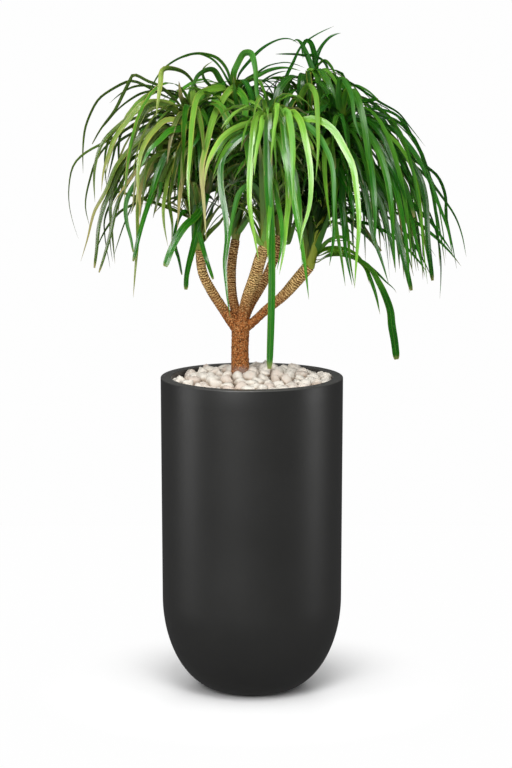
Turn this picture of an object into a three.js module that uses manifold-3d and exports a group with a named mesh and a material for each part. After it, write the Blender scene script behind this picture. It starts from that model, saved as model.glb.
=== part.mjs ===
// A branched ponytail palm in a tall round-bottomed planter, in millimetres, +Z up.
// The origin is the centre of the planter's flat foot. The plant faces -Y, and +X is its right side.
// One short trunk forks into five bare branches. Each branch carries a crown: a leafy stem with long
// strap leaves that rise, arch over and hang down. White pebbles cover the soil up to the trunk.
import * as THREE from "three";
import { mergeVertices } from "three/addons/utils/BufferGeometryUtils.js";
import Module from "manifold-3d";

const wasm = await Module();
wasm.setup();

// Sizes that drive the planter
const POT_HEIGHT = 700;
const POT_RADIUS = 200;
const POT_LOW_RADIUS = 198;
const CORNER_REACH = 130;
const CORNER_HEIGHT = 208;
const RIM_WIDTH = 23;
const RIM_ROUND = 3;
const FLOOR_THICKNESS = 40;
const POT_SIDES = 40;

// Pieces that touch keep this much room
const GAP = 0.3;

// Soil and pebbles
const SOIL_TOP = 655;
const BED_EDGE = 677;
const BED_RISE = 30;
const PEBBLE_COUNT = 124;
const PEBBLE_FIELD = 166;
const PEBBLE_HEIGHT = 15;
const FILL_SIDES = 20;

// Trunk and bare branches
const TRUNK_FOOT = [-25, 5, 540];
const TRUNK_PATH = [TRUNK_FOOT, [-25, 5, 640], [-25, 5, 705], [-26, 5, 760], [-24, 5, 822]];
const TRUNK_RADII = [9, 24, 20.5, 19, 20];
const TRUNK_SIDES = 14;
const BRANCH_SIDES = 10;

// Crossing blades leave edges finer than this, which are merged
const SHORTEST_EDGE = 0.03;

// Leaves
const GOLDEN_ANGLE = Math.PI * (3 - Math.sqrt(5));
const RULE_LEAVES = 460;
const MOST_LEAVES = 65;
const CANOPY = { x: 31, y: 0, wide: 430, deep: 345 };
const LEAF_LOWEST = 745;
const LEAF_STEPS = 28;
const RULE_STOPS = [0, 0.13, 0.27, 0.42, 0.65, 1];
const FEATURE_STOPS = [0, 0.12, 0.24, 0.36, 0.48, 0.62, 0.8, 1];
const CELL_MARGIN = 12.5;
const CELL_SOFTNESS = 14;
const BARK_CLEARANCE = 12;
const FIRST_LEAF = 0.05;
const SEED = 20417;

// Each crown: its leaf colour, the bare branch up to it, that branch's radii, and the growing tip of its leafy stem.
const CROWNS = [
  {
    name: "left",
    color: 0x7f9a45,
    branch: [[-26, 5, 800], [-45, 4, 822], [-65, 0, 852], [-86, -7, 886], [-107, -14, 930], [-113, -20, 982]],
    radii: [15, 12.2, 10.8, 10.8, 10.2, 9.6],
    tip: [-129, -22, 1272],
  },
  {
    name: "back_left",
    color: 0x3c7428,
    branch: [[-24, 6, 800], [-33, 16, 832], [-42, 32, 870], [-45, 50, 910], [-43, 65, 950], [-36, 78, 991]],
    radii: [14, 11.5, 10.2, 10, 10, 9.8],
    tip: [-37, 96, 1319],
  },
  {
    name: "front",
    color: 0x6bb33a,
    branch: [[-24, 4, 800], [-19, -6, 836], [-10, -22, 877], [6, -46, 922], [17, -64, 962], [28, -80, 998]],
    radii: [15, 12.2, 11.8, 13.2, 13, 12],
    tip: [34, -100, 1215],
  },
  {
    name: "back_right",
    color: 0x2f6d2c,
    branch: [[-24, 6, 800], [-6, 14, 832], [20, 30, 873], [38, 47, 915], [51, 60, 958], [60, 70, 1001]],
    radii: [14, 11.5, 10.5, 10.2, 10, 9.8],
    tip: [128, 88, 1360],
  },
  {
    name: "right",
    color: 0x3f7f45,
    branch: [[-24, 5, 798], [4, 1, 821], [29, -4, 845], [66, -12, 877], [94, -19, 909], [124, -25, 946]],
    radii: [12, 9.8, 9.8, 11.2, 13, 13.4],
    tip: [196, -36, 1255],
  },
];

// Leaves that stand out from the front: crown, place on its stem, arch top, tip, half width, share kept.
const FEATURE_LEAVES = [
  ["left", 0.97, [-190, -30, 1345], [-372, -20, 1140], 5.5, 1],
  ["left", 0.9, [-230, -40, 1278], [-378, -60, 1008], 5.5, 1],
  ["left", 0.95, [-265, -60, 1362], [-330, -70, 1225], 6.5, 0.86],
  ["left", 0.99, [-190, -75, 1372], [-208, -120, 1250], 8.5, 1],
  ["left", 0.8, [-122, -95, 1302], [-138, -190, 1010], 9, 1],
  ["left", 0.5, [-170, -110, 1215], [-190, -190, 935], 8.5, 0.8],
  ["left", 0.3, [-200, -60, 1190], [-258, -110, 868], 8, 1],
  ["left", 0.2, [-150, -60, 1120], [-196, -100, 935], 8.5, 0.72],
  ["back_left", 0.98, [-110, 80, 1418], [-245, 60, 1270], 6, 1],
  ["back_left", 0.99, [64, 85, 1444], [128, 80, 1412], 5.5, 1],
  ["back_left", 0.96, [-12, 45, 1414], [16, 20, 1290], 8.5, 1],
  ["front", 0.95, [-60, -120, 1330], [-100, -230, 975], 9.5, 1],
  ["front", 0.85, [-22, -165, 1240], [-104, -250, 1005], 8.5, 1],
  ["front", 0.98, [-25, -170, 1312], [8, -225, 930], 9, 1],
  ["front", 0.92, [18, -180, 1285], [2, -265, 950], 10, 1],
  ["front", 0.96, [36, -185, 1290], [38, -262, 752], 10.5, 0.84],
  ["front", 0.7, [60, -185, 1262], [130, -255, 868], 10, 1],
  ["front", 0.88, [78, -160, 1282], [122, -240, 985], 9.5, 1],
  ["front", 0.99, [112, -140, 1340], [138, -185, 1090], 9.5, 1],
  ["right", 0.75, [165, -110, 1285], [226, -180, 935], 9.5, 1],
  ["right", 0.97, [215, -65, 1350], [262, -110, 1185], 8.5, 1],
  ["right", 0.6, [270, -60, 1180], [306, -110, 765], 9, 0.8],
  ["right", 0.85, [300, -50, 1300], [438, -60, 940], 7.5, 1],
  ["right", 0.7, [345, -40, 1230], [462, -30, 955], 6.5, 1],
  ["back_right", 0.99, [158, 84, 1432], [190, 80, 1462], 6, 1],
  ["back_right", 0.97, [122, 80, 1420], [170, 76, 1470], 6.5, 1],
  ["back_right", 0.95, [170, 60, 1395], [182, 20, 1290], 8, 1],
];

const bark = new THREE.MeshStandardMaterial({ color: 0xa5683c, roughness: 0.9, metalness: 0 });
const charcoal = new THREE.MeshStandardMaterial({ color: 0x343434, roughness: 0.7, metalness: 0 });
const whiteStone = new THREE.MeshStandardMaterial({ color: 0xd8cfc0, roughness: 0.85, metalness: 0 });
const pottingSoil = new THREE.MeshStandardMaterial({ color: 0x3a2a1e, roughness: 1, metalness: 0 });

// A draw of even numbers between 0 and 1 from a whole-number seed.
function makeDraw(seed) {
  let state = seed;
  return () => {
    state = (state * 48271) % 2147483647;
    return state / 2147483647;
  };
}

function mix(a, b, t) {
  return a + (b - a) * t;
}

function leafMaterial(color) {
  return new THREE.MeshStandardMaterial({ color, roughness: 0.45, metalness: 0 });
}

function add(a, b, scale = 1) {
  return [a[0] + b[0] * scale, a[1] + b[1] * scale, a[2] + b[2] * scale];
}

function sub(a, b) {
  return add(a, b, -1);
}

function dot(a, b) {
  return a[0] * b[0] + a[1] * b[1] + a[2] * b[2];
}

function length(a) {
  return Math.sqrt(dot(a, a));
}

function unit(a) {
  const size = length(a) || 1;
  return [a[0] / size, a[1] / size, a[2] / size];
}

function cross(a, b) {
  return [a[1] * b[2] - a[2] * b[1], a[2] * b[0] - a[0] * b[2], a[0] * b[1] - a[1] * b[0]];
}

function smoothStep(t) {
  const x = Math.min(1, Math.max(0, t));
  return x * x * (3 - 2 * x);
}

// A closed solid from lists of points and triangles.
function solidFromLists(points, triangles) {
  const geometry = new THREE.BufferGeometry();
  geometry.setAttribute("position", new THREE.Float32BufferAttribute(points.flat(), 3));
  geometry.setIndex(triangles.flat());
  return solidFromGeometry(geometry);
}

function solidFromGeometry(source) {
  const geometry = source.index ? source.toNonIndexed() : source.clone();
  geometry.deleteAttribute("normal");
  geometry.deleteAttribute("uv");
  const merged = mergeVertices(geometry, 1e-4);
  return new wasm.Manifold(new wasm.Mesh({
    numProp: 3,
    vertProperties: merged.attributes.position.array,
    triVerts: new Uint32Array(merged.index.array),
  }));
}

function meshFromSolid(name, solid, material) {
  const mesh = solid.getMesh();
  const geometry = new THREE.BufferGeometry();
  geometry.setAttribute("position", new THREE.BufferAttribute(mesh.vertProperties, 3));
  geometry.setIndex(new THREE.BufferAttribute(mesh.triVerts, 1));
  geometry.computeVertexNormals();
  const made = new THREE.Mesh(geometry, material);
  made.name = name;
  return made;
}

// A round solid about the Z axis from a profile of [radius, height], drawn from the bottom up.
function turned(profile, sides) {
  const geometry = new THREE.LatheGeometry(profile.map(([r, z]) => new THREE.Vector2(r, z)), sides);
  geometry.rotateX(Math.PI / 2);
  return solidFromGeometry(geometry);
}

// Joins rings of points, each with the same count, into a closed skin. A first or last ring of one
// point is a tip.
function skinRings(rings) {
  const points = [];
  const triangles = [];
  const starts = rings.map((ring) => {
    const start = points.length;
    points.push(...ring);
    return start;
  });
  for (let i = 0; i + 1 < rings.length; i++) {
    const count = Math.max(rings[i].length, rings[i + 1].length);
    for (let k = 0; k < count; k++) {
      const a = starts[i] + k;
      const b = starts[i] + ((k + 1) % count);
      if (rings[i + 1].length === 1) {
        triangles.push([a, b, starts[i + 1]]);
      } else if (rings[i].length === 1) {
        triangles.push([starts[i], starts[i + 1] + ((k + 1) % count), starts[i + 1] + k]);
      } else {
        const c = starts[i + 1] + k;
        const d = starts[i + 1] + ((k + 1) % count);
        triangles.push([a, b, d], [a, d, c]);
      }
    }
  }
  const last = rings.length - 1;
  for (let k = 1; k + 1 < rings[0].length; k++) {
    triangles.push([starts[0], starts[0] + k + 1, starts[0] + k]);
  }
  for (let k = 1; k + 1 < rings[last].length; k++) {
    triangles.push([starts[last], starts[last] + k, starts[last] + k + 1]);
  }
  return solidFromLists(points, triangles);
}

// A round limb through the given points, with a radius at each. Its last face can be turned to a direction.
function limb(points, radii, sides, endAlong = null) {
  let side = [1, 0, 0];
  const rings = points.map((point, i) => {
    const before = points[Math.max(0, i - 1)];
    const after = points[Math.min(points.length - 1, i + 1)];
    const isLast = i === points.length - 1;
    const along = isLast && endAlong ? endAlong : unit(sub(after, before));
    side = unit(add(side, along, -dot(side, along)));
    const across = cross(along, side);
    const ring = [];
    for (let k = 0; k < sides; k++) {
      const turn = (2 * Math.PI * k) / sides;
      const round = add(add(point, side, radii[i] * Math.cos(turn)), across, radii[i] * Math.sin(turn));
      ring.push(round);
    }
    return ring;
  });
  return skinRings(rings);
}

// Planter: the outer wall runs down to an elliptical corner and a small flat foot.
function potOutline(step) {
  const outline = [[0, 0]];
  for (let i = 0; i <= step; i++) {
    const turn = (Math.PI / 2) * (i / step);
    const radius = POT_LOW_RADIUS - CORNER_REACH + CORNER_REACH * Math.sin(turn);
    outline.push([radius, CORNER_HEIGHT * (1 - Math.cos(turn))]);
  }
  return outline;
}

function insideOutline(step, room) {
  const floor = FLOOR_THICKNESS + room;
  const radius = POT_LOW_RADIUS - RIM_WIDTH - room;
  const reach = CORNER_REACH;
  const outline = [[0, floor]];
  for (let i = 0; i <= step; i++) {
    const turn = (Math.PI / 2) * (i / step);
    outline.push([
      radius - reach + reach * Math.sin(turn),
      floor + (CORNER_HEIGHT - FLOOR_THICKNESS) * (1 - Math.cos(turn)),
    ]);
  }
  return outline;
}

function makePlanter() {
  const inner = POT_RADIUS - RIM_WIDTH;
  const soft = RIM_ROUND * (1 - Math.SQRT1_2);
  const profile = [
    ...potOutline(8),
    [POT_RADIUS, POT_HEIGHT - RIM_ROUND],
    [POT_RADIUS - soft, POT_HEIGHT - soft],
    [POT_RADIUS - RIM_ROUND, POT_HEIGHT],
    [inner + RIM_ROUND, POT_HEIGHT],
    [inner + soft, POT_HEIGHT - soft],
    [inner, POT_HEIGHT - RIM_ROUND],
    ...insideOutline(5, 0).reverse(),
  ];
  return turned(profile, POT_SIDES);
}

// The inner wall's radius at a height above its rounded bottom.
function innerRadius(z) {
  const low = POT_LOW_RADIUS - RIM_WIDTH;
  const high = POT_RADIUS - RIM_WIDTH;
  return mix(low, high, (z - CORNER_HEIGHT) / (POT_HEIGHT - RIM_ROUND - CORNER_HEIGHT));
}

function makeSoil(hole) {
  const profile = [
    ...insideOutline(5, 2 * GAP),
    [innerRadius(SOIL_TOP) - 2 * GAP, SOIL_TOP],
    [0, SOIL_TOP],
  ];
  return turned(profile, FILL_SIDES).subtract(hole);
}

function bedHeight(radius) {
  const share = radius / innerRadius(BED_EDGE);
  return BED_EDGE + BED_RISE * (1 - share);
}

// Places in a spiral from the middle out, with a seeded shift.
function pebblePlaces(draw) {
  const places = [];
  for (let i = 0; i < PEBBLE_COUNT; i++) {
    const radius = PEBBLE_FIELD * Math.sqrt((i + 0.5) / PEBBLE_COUNT);
    const turn = i * GOLDEN_ANGLE;
    const x = radius * Math.cos(turn) + (draw() - 0.5) * 11;
    const y = radius * Math.sin(turn) + (draw() - 0.5) * 11;
    places.push([x, y, bedHeight(Math.hypot(x, y)) + (draw() - 0.5) * 6]);
  }
  return places;
}

// The part of a level polygon on the near side of the line half-way to another place.
function nearSide(outline, place, other) {
  const away = [other[0] - place[0], other[1] - place[1]];
  const half = [(other[0] + place[0]) / 2, (other[1] + place[1]) / 2];
  const past = outline.map((p) => (p[0] - half[0]) * away[0] + (p[1] - half[1]) * away[1]);
  const kept = [];
  outline.forEach((p, i) => {
    const next = (i + 1) % outline.length;
    if (past[i] <= 0) kept.push(p);
    if (past[i] <= 0 !== past[next] <= 0) {
      const share = past[i] / (past[i] - past[next]);
      kept.push([mix(p[0], outline[next][0], share), mix(p[1], outline[next][1], share)]);
    }
  });
  return kept;
}

// One stone: its patch of the bed rises from a groove over a shoulder to a crown.
function addStone(outline, place, points, triangles) {
  const groove = outline.map(([x, y]) => [x, y, bedHeight(Math.hypot(x, y)) - PEBBLE_HEIGHT / 2]);
  const shoulder = groove.map(([x, y, z]) => [
    mix(place[0], x, 0.74),
    mix(place[1], y, 0.74),
    mix(z, place[2] + PEBBLE_HEIGHT / 2, 0.72),
  ]);
  const first = points.length;
  const count = outline.length;
  points.push(...groove, ...shoulder, [place[0], place[1], place[2] + PEBBLE_HEIGHT / 2]);
  for (let k = 0; k < count; k++) {
    const next = (k + 1) % count;
    const [a, b] = [first + k, first + next];
    triangles.push([a, b, b + count], [a, b + count, a + count]);
    triangles.push([a + count, b + count, first + 2 * count]);
  }
}

// The bed's level skirt and floor, down from every outline edge that lies on the outer edge.
function addSkirt(outline, edge, points, triangles) {
  const inset = edge * Math.cos(Math.PI / FILL_SIDES) - 0.05;
  const onEdge = (p, q) => {
    const middle = [(p[0] + q[0]) / 2, (p[1] + q[1]) / 2];
    return Math.hypot(...middle) > inset && edgeDistance(middle, edge) > -0.01;
  };
  outline.forEach((p, i) => {
    const q = outline[(i + 1) % outline.length];
    if (!onEdge(p, q)) return;
    const first = points.length;
    const floor = SOIL_TOP + GAP;
    for (const [x, y] of [p, q]) {
      points.push([x, y, bedHeight(Math.hypot(x, y)) - PEBBLE_HEIGHT / 2], [x, y, floor]);
    }
    points.push([0, 0, floor]);
    triangles.push([first, first + 1, first + 3], [first, first + 3, first + 2]);
    triangles.push([first + 1, first + 4, first + 3]);
  });
}

// How far a level point is past the nearest side of the bed's outer polygon.
function edgeDistance(point, edge) {
  const inset = edge * Math.cos(Math.PI / FILL_SIDES);
  let most = -Infinity;
  for (let k = 0; k < FILL_SIDES; k++) {
    const turn = (2 * Math.PI * (k + 0.5)) / FILL_SIDES;
    most = Math.max(most, point[0] * Math.cos(turn) + point[1] * Math.sin(turn) - inset);
  }
  return most;
}

// A packed layer of stones: each takes the patch of the bed that lies nearest to it.
function makePebbles(hole) {
  const draw = makeDraw(SEED + 7);
  const edge = innerRadius(BED_EDGE) - 2 * GAP;
  const whole = [];
  for (let k = 0; k < FILL_SIDES; k++) {
    const turn = (2 * Math.PI * k) / FILL_SIDES;
    whole.push([edge * Math.cos(turn), edge * Math.sin(turn)]);
  }
  const places = pebblePlaces(draw);
  const points = [];
  const triangles = [];
  for (const place of places) {
    const others = places.filter((other) => other !== place);
    const outline = others.reduce((patch, other) => nearSide(patch, place, other), whole);
    addStone(outline, place, points, triangles);
    addSkirt(outline, edge, points, triangles);
  }
  return solidFromLists(points, triangles).subtract(hole);
}

function makeTrunk() {
  const limbs = [limb(TRUNK_PATH, TRUNK_RADII, TRUNK_SIDES)];
  for (const crown of CROWNS) {
    limbs.push(limb(crown.branch, crown.radii, BRANCH_SIDES, stemAlong(crown)));
  }
  return wasm.Manifold.union(limbs);
}

// The trunk's foot with room round it, which leaves a plain hole in the soil and the pebbles.
function makeTrunkHole() {
  const below = [...TRUNK_FOOT];
  below[2] -= 1;
  const path = [below, ...TRUNK_PATH.slice(1)];
  return limb(path, TRUNK_RADII.map((r) => r + 0.6), TRUNK_SIDES);
}

function crownBase(crown) {
  return crown.branch[crown.branch.length - 1];
}

function stemAlong(crown) {
  return unit(sub(crown.tip, crownBase(crown)));
}

function crownMiddle(crown) {
  const base = crownBase(crown);
  return [(base[0] + crown.tip[0]) / 2, (base[1] + crown.tip[1]) / 2, 0];
}

// Room between crowns: a point nearer another crown than the half-way plane is eased back over it.
function keepToCrown(point, crown) {
  let place = point;
  const own = crownMiddle(crown);
  for (const other of CROWNS) {
    if (other === crown) continue;
    const far = crownMiddle(other);
    const away = unit(sub(own, far));
    const half = add(own, far).map((v) => v / 2);
    const depth = dot(sub([place[0], place[1], 0], half), away);
    place = add(place, away, eased(depth, CELL_MARGIN, CELL_SOFTNESS) - depth);
  }
  return place;
}

// A distance that never falls under the margin, and is left alone past margin + softness.
function eased(depth, margin, softness) {
  if (depth >= margin + softness) return depth;
  return margin + softness * Math.exp((depth - margin - softness) / softness);
}

function nearestOnPath(point, path) {
  let best = { distance: Infinity, place: null };
  for (let i = 0; i + 1 < path.length; i++) {
    const span = sub(path[i + 1], path[i]);
    const share = Math.min(1, Math.max(0, dot(sub(point, path[i]), span) / dot(span, span)));
    const place = add(path[i], span, share);
    const distance = length(sub(point, place));
    if (distance < best.distance) best = { distance, place, share: i + share };
  }
  return best;
}

// A hanging point near a bare limb is eased out from its bark.
function keepOffBark(point, weight) {
  let place = point;
  const limbs = [[TRUNK_PATH, 20], ...CROWNS.map((crown) => [crown.branch, 13])];
  for (const [path, radius] of limbs) {
    const near = nearestOnPath(place, path);
    const wanted = eased(near.distance, radius + BARK_CLEARANCE, CELL_SOFTNESS);
    const away = unit(sub(place, near.place));
    place = add(place, away, (wanted - near.distance) * weight);
  }
  return place;
}

function bezier(a, b, c, d, t) {
  const s = 1 - t;
  const ends = add(a.map((v) => v * s * s * s), d, t * t * t);
  return add(add(ends, b, 3 * s * s * t), c, 3 * s * t * t);
}

function leafRoot(crown, place) {
  return add(crownBase(crown), sub(crown.tip, crownBase(crown)), place);
}

// A feature leaf's middle line: up from the stem to its arch top, then over and down to its tip.
function featureLine(crown, leaf) {
  const root = leafRoot(crown, leaf.place);
  const out = sub(leaf.top, root);
  const on = sub(leaf.end, leaf.top);
  const flatOut = [out[0], out[1], 0];
  const flatOn = [on[0], on[1], 0];
  const across = unit(add(unit(flatOut), unit(flatOn)));
  const early = [
    root,
    add(add(root, [0, 0, out[2]], 0.55), flatOut, 0.2),
    add(leaf.top, across, -0.5 * length(flatOut)),
    leaf.top,
  ];
  const late = [
    leaf.top,
    add(leaf.top, across, 0.55 * length(flatOut) + 0.1 * length(flatOn)),
    add(add(leaf.end, flatOn, -0.12), [0, 0, on[2]], -0.55),
    leaf.end,
  ];
  const points = [];
  for (let i = 0; i <= LEAF_STEPS; i++) {
    const t = i / LEAF_STEPS;
    points.push(t < 0.35 ? bezier(...early, t / 0.35) : bezier(...late, (t - 0.35) / 0.65));
  }
  return points;
}

// The steepness of a rule leaf a share of the way along: it bends fastest early on and ends hanging.
function leafClimb(leaf, share) {
  const past = Math.max(0, share - leaf.straight);
  const bent = (1 - Math.exp(-leaf.bend * past)) / (1 - Math.exp(-leaf.bend * (1 - leaf.straight)));
  return leaf.start - (leaf.start + leaf.hang) * bent;
}

// A rule leaf's middle line. It is as long as it takes to hang to its wanted height.
function ruleLine(crown, leaf) {
  const root = leafRoot(crown, leaf.place);
  const path = [[0, 0, 0]];
  for (let i = 0; i < LEAF_STEPS; i++) {
    const share = (i + 0.5) / LEAF_STEPS;
    const climb = leafClimb(leaf, share);
    const turn = leaf.turn + leaf.drift * share;
    const way = [Math.cos(turn) * Math.cos(climb), Math.sin(turn) * Math.cos(climb), Math.sin(climb)];
    path.push(add(path[i], way, 1 / LEAF_STEPS));
  }
  const last = path[LEAF_STEPS];
  const size = Math.min(leaf.longest, Math.max(leaf.shortest, (root[2] - leaf.low) / -last[2]));
  const reach = size * Math.hypot(last[0], last[1]);
  const squeeze = Math.min(1, canopyRoom(root, leaf.heading) / reach);
  return path.map((p) => [root[0] + p[0] * size * squeeze, root[1] + p[1] * size * squeeze, root[2] + p[2] * size]);
}

// How far a point is from the canopy's oval edge along a level heading.
function canopyRoom(root, heading) {
  const px = (root[0] - CANOPY.x) / CANOPY.wide;
  const py = (root[1] - CANOPY.y) / CANOPY.deep;
  const hx = heading[0] / CANOPY.wide;
  const hy = heading[1] / CANOPY.deep;
  const a = hx * hx + hy * hy;
  const b = px * hx + py * hy;
  const c = px * px + py * py - 1;
  return (-b + Math.sqrt(Math.max(0, b * b - a * c))) / a;
}

// The middle line, kept in its own crown's room and off the bark below the stem.
function leafLine(crown, leaf) {
  const line = leaf.feature ? featureLine(crown, leaf) : ruleLine(crown, leaf);
  return line.map((point, i) => {
    const t = i / LEAF_STEPS;
    return keepOffBark(keepToCrown(point, crown), smoothStep((t - 0.3) / 0.15));
  });
}

const LIMBS = [[TRUNK_PATH, 20], ...CROWNS.map((crown) => [crown.branch, 13])];

// Whether every straight piece of a leaf past its root clears the bare limbs, the pebbles and the rim.
function clearOfBark(stops, half) {
  for (let i = 1; i + 1 < stops.length; i++) {
    if (stops[i + 1][2] < LEAF_LOWEST) return false;
    for (const [path, radius] of LIMBS) {
      for (let k = 0; k + 1 < path.length; k++) {
        const offset = nearestOffset(stops[i], stops[i + 1], path[k], path[k + 1]);
        if (length(offset) < radius + 0.8 * half + 1.5) return false;
      }
    }
  }
  return true;
}

// The leaf's few points where its blade has a ring.
function leafStops(points, share, stops) {
  return stops.map((stop) => {
    const place = stop * share * LEAF_STEPS;
    const low = Math.min(Math.floor(place), LEAF_STEPS - 1);
    return add(points[low], sub(points[low + 1], points[low]), place - low);
  });
}

// The nearest offset between two straight pieces a-b and c-d.
function nearestOffset(a, b, c, d) {
  const u = sub(b, a);
  const v = sub(d, c);
  const w = sub(a, c);
  const uu = dot(u, u);
  const uv = dot(u, v);
  const vv = dot(v, v);
  const spread = uu * vv - uv * uv;
  const clamp = (x) => Math.min(1, Math.max(0, x));
  let s = spread > 1e-6 ? clamp((uv * dot(v, w) - vv * dot(u, w)) / spread) : 0.5;
  const t = clamp((uv * s + dot(v, w)) / vv);
  s = clamp((uv * t - dot(u, w)) / uu);
  return sub(add(a, u, s), add(c, v, t));
}

// Two leaves cross when their middle lines pass close, counted wide across the blade and thin through it.
function leavesCross(one, two) {
  const a = one.spine;
  const b = two.spine;
  const side = unit([one.heading[1] + two.heading[1], -one.heading[0] - two.heading[0], 0]);
  for (let i = 0; i + 1 < a.length; i++) {
    for (let k = 0; k + 1 < b.length; k++) {
      const offset = nearestOffset(a[i], a[i + 1], b[k], b[k + 1]);
      const reach = one.widths[i] + two.widths[k];
      if (length(offset) > reach + 2) continue;
      const wide = Math.abs(dot(offset, side));
      const thin = Math.sqrt(Math.max(0, dot(offset, offset) - wide * wide));
      if (wide < 0.9 * reach && thin < 4) return true;
    }
  }
  return false;
}

// The mean half width of each straight piece of a blade.
function pieceWidths(leaf) {
  const rings = leaf.marks.map((mark, k) => (k === 0 ? 0 : halfWidth(leaf, mark * leaf.share)));
  return rings.slice(1).map((width, k) => (width + rings[k]) / 2);
}

// Leaf widths: a broad base, widest in the first third, and a long fine tip.
function halfWidth(leaf, t) {
  const swell = 0.78 + 0.22 * smoothStep(t / 0.2);
  return leaf.half * swell * Math.pow(1 - Math.pow(t, 2.3), 0.9);
}

// A three-sided blade with a flat face above and a keel below.
function makeBlade(leaf) {
  const last = leaf.stops.length - 1;
  const rings = leaf.stops.map((centre, k) => {
    if (k === 0 || (k === last && leaf.share === 1)) return [centre];
    const along = unit(sub(leaf.stops[Math.min(last, k + 1)], leaf.stops[Math.max(0, k - 1)]));
    const flat = unit([leaf.heading[1], -leaf.heading[0], 0]);
    const level = unit(add(flat, along, -dot(flat, along)));
    const face = cross(level, along);
    const turn = leaf.twist * leaf.marks[k];
    const side = add(level.map((v) => v * Math.cos(turn)), face, Math.sin(turn));
    const up = cross(side, along);
    const half = Math.max(0.8, halfWidth(leaf, leaf.marks[k] * leaf.share));
    const keel = Math.max(1.1, 0.24 * half);
    return [add(centre, side, half), add(centre, up, -keel), add(centre, side, -half)];
  });
  return skinRings(rings);
}

// Leaves that keep clear of the bark and of each other. Feature leaves come first and are always kept.
function chosenLeaves(crown, leaves) {
  const kept = [];
  for (const leaf of leaves) {
    const points = leafLine(crown, leaf);
    leaf.marks = leaf.feature ? FEATURE_STOPS : RULE_STOPS;
    const cuts = [1, 0.92, 0.84, 0.76, 0.68].map((part) => leafStops(points, part, leaf.marks));
    leaf.stops = cuts.find((stops) => clearOfBark(stops, leaf.half));
    if (!leaf.stops) continue;
    leaf.widths = pieceWidths(leaf);
    leaf.spine = [add(leaf.stops[0], sub(leaf.stops[1], leaf.stops[0]), 0.3), ...leaf.stops.slice(1)];
    if (!leaf.feature && kept.some((other) => leavesCross(leaf, other))) continue;
    kept.push(leaf);
    if (kept.length >= MOST_LEAVES) break;
  }
  return kept;
}

function featureLeaf(crown, [, place, top, end, half, share]) {
  const heading = unit([end[0] - crown.tip[0], end[1] - crown.tip[1], 0]);
  return { place, top, end, half, share, heading, hang: 1, twist: 0, feature: true };
}

// A leaf by the rule: spread evenly up and round the stem, older and lower ones start flatter.
function ruleLeaf(crown, index, draw) {
  const place = mix(FIRST_LEAF, 0.98, (0.5 + index * 0.7548776662) % 1);
  const turn = 2 * Math.PI * ((index * 0.569840291) % 1) + (draw() - 0.5) * 0.3;
  const leaf = {
    place,
    turn,
    heading: [Math.cos(turn), Math.sin(turn), 0],
    drift: (draw() - 0.5) * 0.7,
    start: THREE.MathUtils.degToRad(mix(42, 72, place) + (draw() - 0.5) * 16),
    hang: THREE.MathUtils.degToRad(mix(76, 89, draw())),
    bend: mix(1.6, 4.6, draw()),
    straight: mix(0, 0.08, draw()) * place,
    low: fringeHeight(crown.tip[0] + 200 * Math.cos(turn)) + 130 * draw(),
    shortest: mix(150, 220, draw()),
    longest: 640,
    half: mix(7.4, 10.4, draw()),
    share: draw() < 0.12 ? mix(0.7, 0.88, draw()) : 1,
    twist: (draw() - 0.5) * 1.4,
  };
  return leaf;
}

// The lowest that leaves hang: higher in the middle, where the bare branches show.
function fringeHeight(x) {
  return 888 + 105 * Math.exp(-Math.pow((x - 5) / 110, 2));
}

// A crown: a tapered leafy stem and every leaf rooted in it, fused in one solid.
function makeCrown(crown, number) {
  const draw = makeDraw(SEED + 101 * (number + 1));
  const base = crownBase(crown);
  const along = unit(sub(crown.tip, base));
  const start = add(base, along, GAP);
  const thick = crown.radii[crown.radii.length - 1] + 3;
  const stem = limb([start, add(base, sub(crown.tip, base), 0.5), crown.tip], [thick, thick, 7], 8);
  const leaves = FEATURE_LEAVES.filter((row) => row[0] === crown.name).map((row) => featureLeaf(crown, row));
  for (let i = 0; i < RULE_LEAVES; i++) {
    leaves.push(ruleLeaf(crown, i, draw));
  }
  const blades = chosenLeaves(crown, leaves).map(makeBlade);
  return largestBody(wasm.Manifold.union([stem, ...blades])).simplify(SHORTEST_EDGE);
}

// The outer skin alone: a pocket closed in between crossing blades is filled.
function largestBody(solid) {
  const bodies = solid.decompose();
  bodies.sort((a, b) => b.volume() - a.volume());
  return bodies[0];
}

const palm = new THREE.Group();
const hole = makeTrunkHole();
palm.add(meshFromSolid("planter", makePlanter(), charcoal));
palm.add(meshFromSolid("soil", makeSoil(hole), pottingSoil));
palm.add(meshFromSolid("pebbles", makePebbles(hole), whiteStone));
palm.add(meshFromSolid("trunk", makeTrunk(), bark));
CROWNS.forEach((crown, number) => {
  palm.add(meshFromSolid("crown_" + crown.name, makeCrown(crown, number), leafMaterial(crown.color)));
});

export default palm;
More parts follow.
